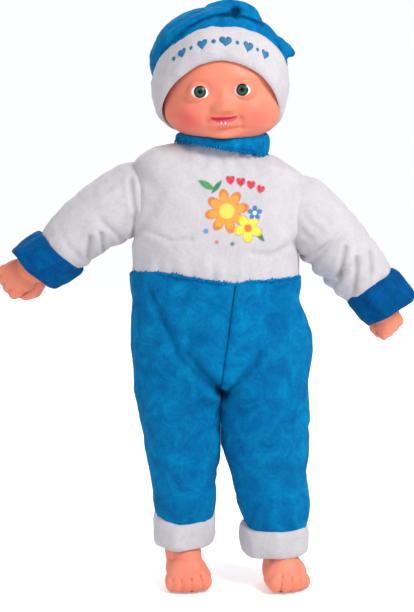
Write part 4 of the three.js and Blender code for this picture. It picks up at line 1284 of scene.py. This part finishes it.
SEAT = [
    # height, half width, half depth
    (164, 4, 12), (171, 10, 26), (180, 24, 35), (192, 46, 40), (206, 62, 42.5), (230, 66, 44.5),
    (246, 66, 45.5), (254, 64, 44),
]


def seam_x(z):
    """Where the trousers' centre seam runs, side to side, at height z."""
    return np.interp(z, [160, 176, 205, 256], [0.0, 0.0, 4.6, 11.4])


def make_leg(name, leg):
    """One half of the trousers: a leg that widens into its half of the hips."""
    side, ankle, hip, hem, end = leg["side"], leg["ankle"], leg["hip"], leg["hem"], leg["end"]
    rows, columns = 230, 190
    z = np.linspace(end - 6, 260, rows)
    t = circle(columns)
    ct, st = np.cos(t), np.sin(t)
    limb_rows = [  # height, middle x, half width, half depth
        (end - 6, ankle, hem - 4, hem - 4),
        (end - 1, ankle, hem - 1, hem - 1),
        (end + 4, ankle, hem, hem),
        (end + 17, leg["calf"], leg["shin"] - 1.6, 29.5),
        (90, leg["shin_x"], leg["shin"], 31),
        (115, *leg["knee_row"], 34),
        (140, *leg["thigh_row"], 37),
        (165, hip, abs(hip) + 1.8, 39),
        (190, hip, 37.6, 41),
        (262, hip, 37.6, 44),
    ]
    mx, rx, ry = table(limb_rows, z)
    hx, hw, hd = table(HIPS, z)
    # half of the hips: the ray from the thigh's middle to the outer ellipse or the middle seam
    mxc = mx[:, None]
    A = (ct / hw[:, None]) ** 2 + (st / hd[:, None]) ** 2
    B = 2 * (mxc - hx[:, None]) * ct / hw[:, None] ** 2
    C = ((mxc - hx[:, None]) / hw[:, None]) ** 2 - 1
    outer = (-B + np.sqrt(np.maximum(B * B - 4 * A * C, 0))) / (2 * A)
    toward = -side * ct
    gap = np.abs(mxc) + 1.2 - side * seam_x(z)[:, None]
    seam = np.where(toward > 1e-3, gap / np.maximum(toward, 1e-3), 1e3)
    k = 0.9                                            # how soft the smaller of the two is, in millimetres
    half = -k * np.log(np.exp(-np.minimum(outer, 400) / k) + np.exp(-np.minimum(seam, 400) / k))
    half = np.where(np.isfinite(half), half, outer)
    limb = 1 / np.sqrt((ct / rx[:, None]) ** 2 + (st / ry[:, None]) ** 2)
    s = smooth(150, 182, z)[:, None]
    r = limb * (1 - s) + half * s
    p = np.stack([mxc + r * ct, r * st, np.repeat(z[:, None], columns, 1)], 2)
    # the upper edge follows the waist seam
    h = p[..., 2]
    p[..., 2] = h + (waist(p[..., 0], p[..., 1]) - 258) * smooth(215, WAIST_Z, h)
    n = grid_normals(p)
    q = p.reshape(-1, 3)
    below = waist(q[:, 0], q[:, 1]) - q[:, 2]
    angle = np.arctan2(q[:, 1], q[:, 0] * 0.6)
    d = 1.9 * lumps(q, 44, 61 + side) + 0.7 * lumps(q, 16, 63) + 0.18 * lumps(q, 4, 65, 1)
    pucker = np.sin(angle * 17 + 2 * lumps(q, 26, 66)) + 0.6 * np.sin(angle * 29 + 3 * lumps(q, 20, 67))
    d += 0.9 * pucker * np.exp(-np.maximum(below, 0) / 12) * smooth(-1, 4, below)
    d -= 2.2 * smooth(0.5, -3.5, below)
    around = np.arctan2(q[:, 1], q[:, 0] - leg["ankle"])
    low = q[:, 2] - leg["end"]
    d += 0.4 * np.sin(around * 13 + 2 * lumps(q, 18, 68)) * np.exp(-np.abs(low - 5) / 10)
    front = smooth(8, -12, q[:, 1])
    # painted shade in the creases and the centre seam, read by the velour, together with darker streaks of nap
    # that belong to the cloth
    dark = np.zeros(len(q))
    for line in CREASES[name]:
        away = line_distance(q[:, 0], q[:, 2], line)
        near = 0.5 + 0.5 * np.exp(-np.maximum(q[:, 2] - 166, 0) / 14)
        d += front * near * (-3.8 * np.exp(-(away / 3.6) ** 2) + 1.6 * np.exp(-((away - 8) / 5) ** 2))
        dark = np.maximum(dark, 0.62 * front * near * np.exp(-(away / 3.0) ** 2))
    centre = np.abs(q[:, 0] - seam_x(q[:, 2]))
    d -= 0.7 * np.exp(-(centre / 2.2) ** 2) * smooth(150, 165, q[:, 2])
    # painted shade in the centre seam's groove
    dark = np.maximum(dark, 0.3 * np.exp(-(centre / 1.3) ** 2) * smooth(140, 165, q[:, 2]))
    # darker, vertically stretched streaks in the nap itself: the cloth's own tone
    dark = np.maximum(dark, 0.16 * smooth(0.1, 0.9, lumps(q * np.array([1, 1, 0.55]), 26, 71)))
    # slack folds low on the legs
    for at, lean, depth in ((78, 0.18, 1.2), (101, -0.22, 1.3), (128, 0.15, 1.1)):
        bend = q[:, 2] - at - lean * (q[:, 0] - leg["knee"]) + 3 * lumps(q, 34, at)
        d -= depth * np.exp(-(bend / 4.2) ** 2) * (0.5 + 0.5 * np.sin(around + at))
    p = q + n.reshape(-1, 3) * d[:, None]
    middle = seam_x(p[:, 2])
    keep = side * (p[:, 0] - middle)
    p[:, 0] = np.where(keep < 0.1, middle + side * (0.1 + 0.02 * keep), p[:, 0])
    obj = tube(name + "_trouser_leg", p.reshape(rows, columns, 3), BLUE)
    shade(obj, dark)
    start, end = (side * 30, 0, 238), (side * 38, 0, 176)
    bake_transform(obj)
    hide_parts(name + "_leg")
    if side < 0:
        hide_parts("lower_body")


def make_turn_up(name, leg):
    """The white turn-up at the end of a trouser leg, lower in front."""
    shift, outer, middle, low, high, dip, sag = leg["turn_up"]

    def on_leg(h, c, s):
        front = np.clip(-s / 24, 0, 1)
        share = np.clip((h - low) / (high - low), 0, 1)
        x = leg["ankle"] + shift + c - 0.05 * leg["side"] * h
        return np.stack([x, s, middle + h - front * (sag + (dip - sag) * share)], -1)

    cuff(name + "_velour_trouser_cuff", on_leg, circle(150), 19.8, outer, low, high, WHITE,
         name + "_leg", name + "_trouser_cuff", 9 + leg["side"])


def make_seat():
    """The stuffed middle of the trousers, which shows along the seam and under the crotch."""
    z = np.linspace(SEAT[0][0], SEAT[-1][0], 60)
    w, depth = table(SEAT, z)
    middle = np.zeros(len(z))
    p = ellipses(middle, middle, w, depth, z, circle(140))
    p = p + grid_normals(p) * (0.5 * lumps(p.reshape(-1, 3), 14, 91).reshape(p.shape[:2]))[..., None]
    seat = tube("trouser_seat", p, BLUE)
    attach(seat, "torso")


def make_tufts():
    """Velour pile caught in the seams: small blue tufts that stand up over the white."""
    rng = np.random.default_rng(7)
    pieces, count = [], 230
    for k in range(count):
        a = 2 * math.pi * (k + rng.uniform(-0.3, 0.3)) / count
        x, y = -5 + 72.6 * math.cos(a), 47.2 * math.sin(a)
        if y > 25 and abs(x) < 37:                     # the back flap's place stays free
            continue
        base = np.array([x, y, float(waist(np.array(x), np.array(y))) + 0.2])
        lean = rng.uniform(-1.6, 1.6)
        along = np.array([-math.sin(a), 0.6 * math.cos(a), 0.0])
        tip = base + along * lean + np.array([-x * 0.014, -y * 0.02, rng.uniform(0.6, 3.4)])
        pieces.append(capsule(base, tip, rng.uniform(1.0, 1.5), 0.3, 6, 2))
    tufts = build("waist_seam_tufts", *union(pieces), BLUE)
    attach(tufts, "torso")
    pieces, count, r = [], 150, 39.2
    for k in range(count):
        a = 2 * math.pi * (k + rng.uniform(-0.3, 0.3)) / count
        x, y = HEAD_X + r * math.cos(a), COLLAR_FLAT * r * math.sin(a)
        base = np.array([x, y, float(collar_edge(np.array(a))) + 1.4])
        aside = rng.uniform(-1, 1)
        tip = base + np.array([math.cos(a) * 1.4 + aside, math.sin(a) * 1.4, -rng.uniform(1.6, 3.2)])
        pieces.append(capsule(base, tip, rng.uniform(0.7, 1.1), 0.3, 6, 2))
    tufts = build("collar_seam_tufts", *union(pieces), BLUE)
    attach(tufts, "torso")


# ---------------------------------------------------------------- collar

def collar_edge(t):
    """Height of the collar's lower edge: high on the doll's right, low in front and on its left."""
    return 371.6 - 6.6 * np.cos(t) + 1.2 * np.sin(t)


def make_collar():
    """The ribbed turtleneck round the neck, rolled over at the top."""
    t = circle(220)
    rr, hh = section((34.0, 371.8), (5.6, 8.6), 40, (0.7, 0.8))
    r = np.repeat(rr[:, None], len(t), 1)
    h = np.repeat(hh[:, None], len(t), 1)
    out = smooth(31, 40, r)
    ribs = np.sin(23 * t + 0.8 * np.sin(3 * t))
    r = r + out * (0.5 * ribs + 0.8 * np.sin(3 * t + 1))
    share = np.clip((h - 363.2) / 17.2, 0, 1)
    h = (1 - share) * collar_edge(t) + share * (380.8 + 4.4 * np.cos(t) ** 2) + 0.4 * np.sin(5 * t)
    p = np.stack([HEAD_X + r * np.cos(t), COLLAR_FLAT * r * np.sin(t), h], 2)
    f = p.reshape(-1, 3)
    relief = (0.9 * lumps(f, 13, 81) + 0.4 * lumps(f, 5, 82)).reshape(r.shape) * out
    obj = band("turtleneck", p, relief, BLUE)
    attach(obj, "torso")
    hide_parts("collar")


# ---------------------------------------------------------------- back flap and the pieces inside

def make_flap():
    """The cloth flap over the sound box: a hemmed velour panel on the back."""
    rows, columns = 70, 60
    z = np.linspace(FLAP_LOW, FLAP_HIGH, rows)
    _, _, rx, ry = table(BODY, z)
    X, Z = np.meshgrid(np.linspace(-FLAP_HALF, FLAP_HALF, columns), z)
    depth = ry[:, None] * np.sqrt(np.maximum(1 - (np.abs(X) / rx[:, None]) ** 2.17, 0)) ** 0.92
    edge = np.minimum(np.abs(FLAP_HALF - np.abs(X)), np.minimum(Z - FLAP_LOW, FLAP_HIGH - Z))
    f = np.stack([X, depth, Z], 2).reshape(-1, 3)
    body = 1.5 * lumps(f, 42, 25) + 0.5 * lumps(f, 15, 26)
    lift = 1.5 + 0.7 * smooth(0, 3, edge).ravel() - 0.7 * np.exp(-((edge.ravel() - 5) / 0.9) ** 2)
    top = f + np.array([0, 1, 0]) * (body + lift)[:, None]
    under = f + np.array([0, 1, 0]) * (body * 0.5 - 2.2)[:, None]
    points = np.concatenate([top, under])
    count = rows * columns
    faces = []
    for i in range(rows - 1):
        for j in range(columns - 1):
            a, b = i * columns + j, (i + 1) * columns + j
            faces.append((a, b, b + 1, a + 1))
            faces.append((count + a, count + a + 1, count + b + 1, count + b))
    order = np.arange(count).reshape(rows, columns)
    rim = [*order[0], *order[1:, -1], *order[-1, -2::-1], *order[-2:0:-1, 0]]
    for a, b in zip(rim, rim[1:] + rim[:1]):
        faces.append((a, b, count + b, count + a))
    flap = build("velour_back_flap", points, faces, WHITE)
    recalc(flap)
    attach(flap, "flap")
    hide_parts("back_flap")


def finish_cad_nodes():
    """Procedural finishes for the CAD pieces that keep their own shape."""
    record = {s["node"]: s["material_slot"] for s in frame["record"]["subparts"]}
    finishes = {
        # slot: name, colour, roughness, and what differs from a plain moulding
        "tie_nylon": ("tie_nylon", (240, 240, 240), 0.4, {}),
        "hook_loop": ("hook_loop", (238, 238, 240), 0.9, dict(scale=1400, spread=0.25, bump=0.8)),
        "case_plastic": ("case_plastic", (228, 225, 216), 0.45, {}),
        "button_plastic": ("button_plastic", (210, 60, 44), 0.32, dict(coat=0.3)),
        "black_plastic": ("black_plastic", (30, 30, 32), 0.45, {}),
        "board": ("board", (44, 104, 60), 0.4, dict(coat=0.4, spread=0.25)),
        "steel": ("steel", (188, 190, 194), 0.28, dict(metallic=1.0)),
        "magnet_steel": ("magnet", (116, 120, 124), 0.4, dict(metallic=1.0)),
        "cell": ("cell", (52, 56, 62), 0.3, dict(coat=0.5)),
        "cone_paper": ("cone", (40, 40, 42), 0.8, dict(scale=900, spread=0.3)),
        "wire_red": ("wire_red", (176, 34, 34), 0.4, {}),
        "wire_black": ("wire_black", (24, 24, 24), 0.4, {}),
    }
    for slot, (name, rgb, roughness, more) in finishes.items():
        finishes[slot] = plain(name + "_finish", srgb(*rgb), roughness, **more)
    for node, obj in frame["nodes"].items():
        if record[node] in finishes:
            obj.data.materials.clear()
            obj.data.materials.append(finishes[record[node]])


make_head()
make_eyes()
make_cap()
make_top()
make_collar()
for name, arm in ARMS.items():
    make_sleeve(name, arm)
    make_sleeve_cuff(name, arm)
make_hand("right", ARMS["right"], curl=82, roll=80, pitch=4, reach=0.99, offset=2.2, lean=0.10)
make_hand("left", ARMS["left"], curl=100, roll=100, pitch=8, reach=0.82, size=0.84, offset=-2.0, lean=-0.28)
for name, leg in LEGS.items():
    make_leg(name, leg)
    make_turn_up(name, leg)
for name, foot in FEET.items():
    make_foot(name, foot)
make_seat()
make_tufts()
make_flap()
finish_cad_nodes()
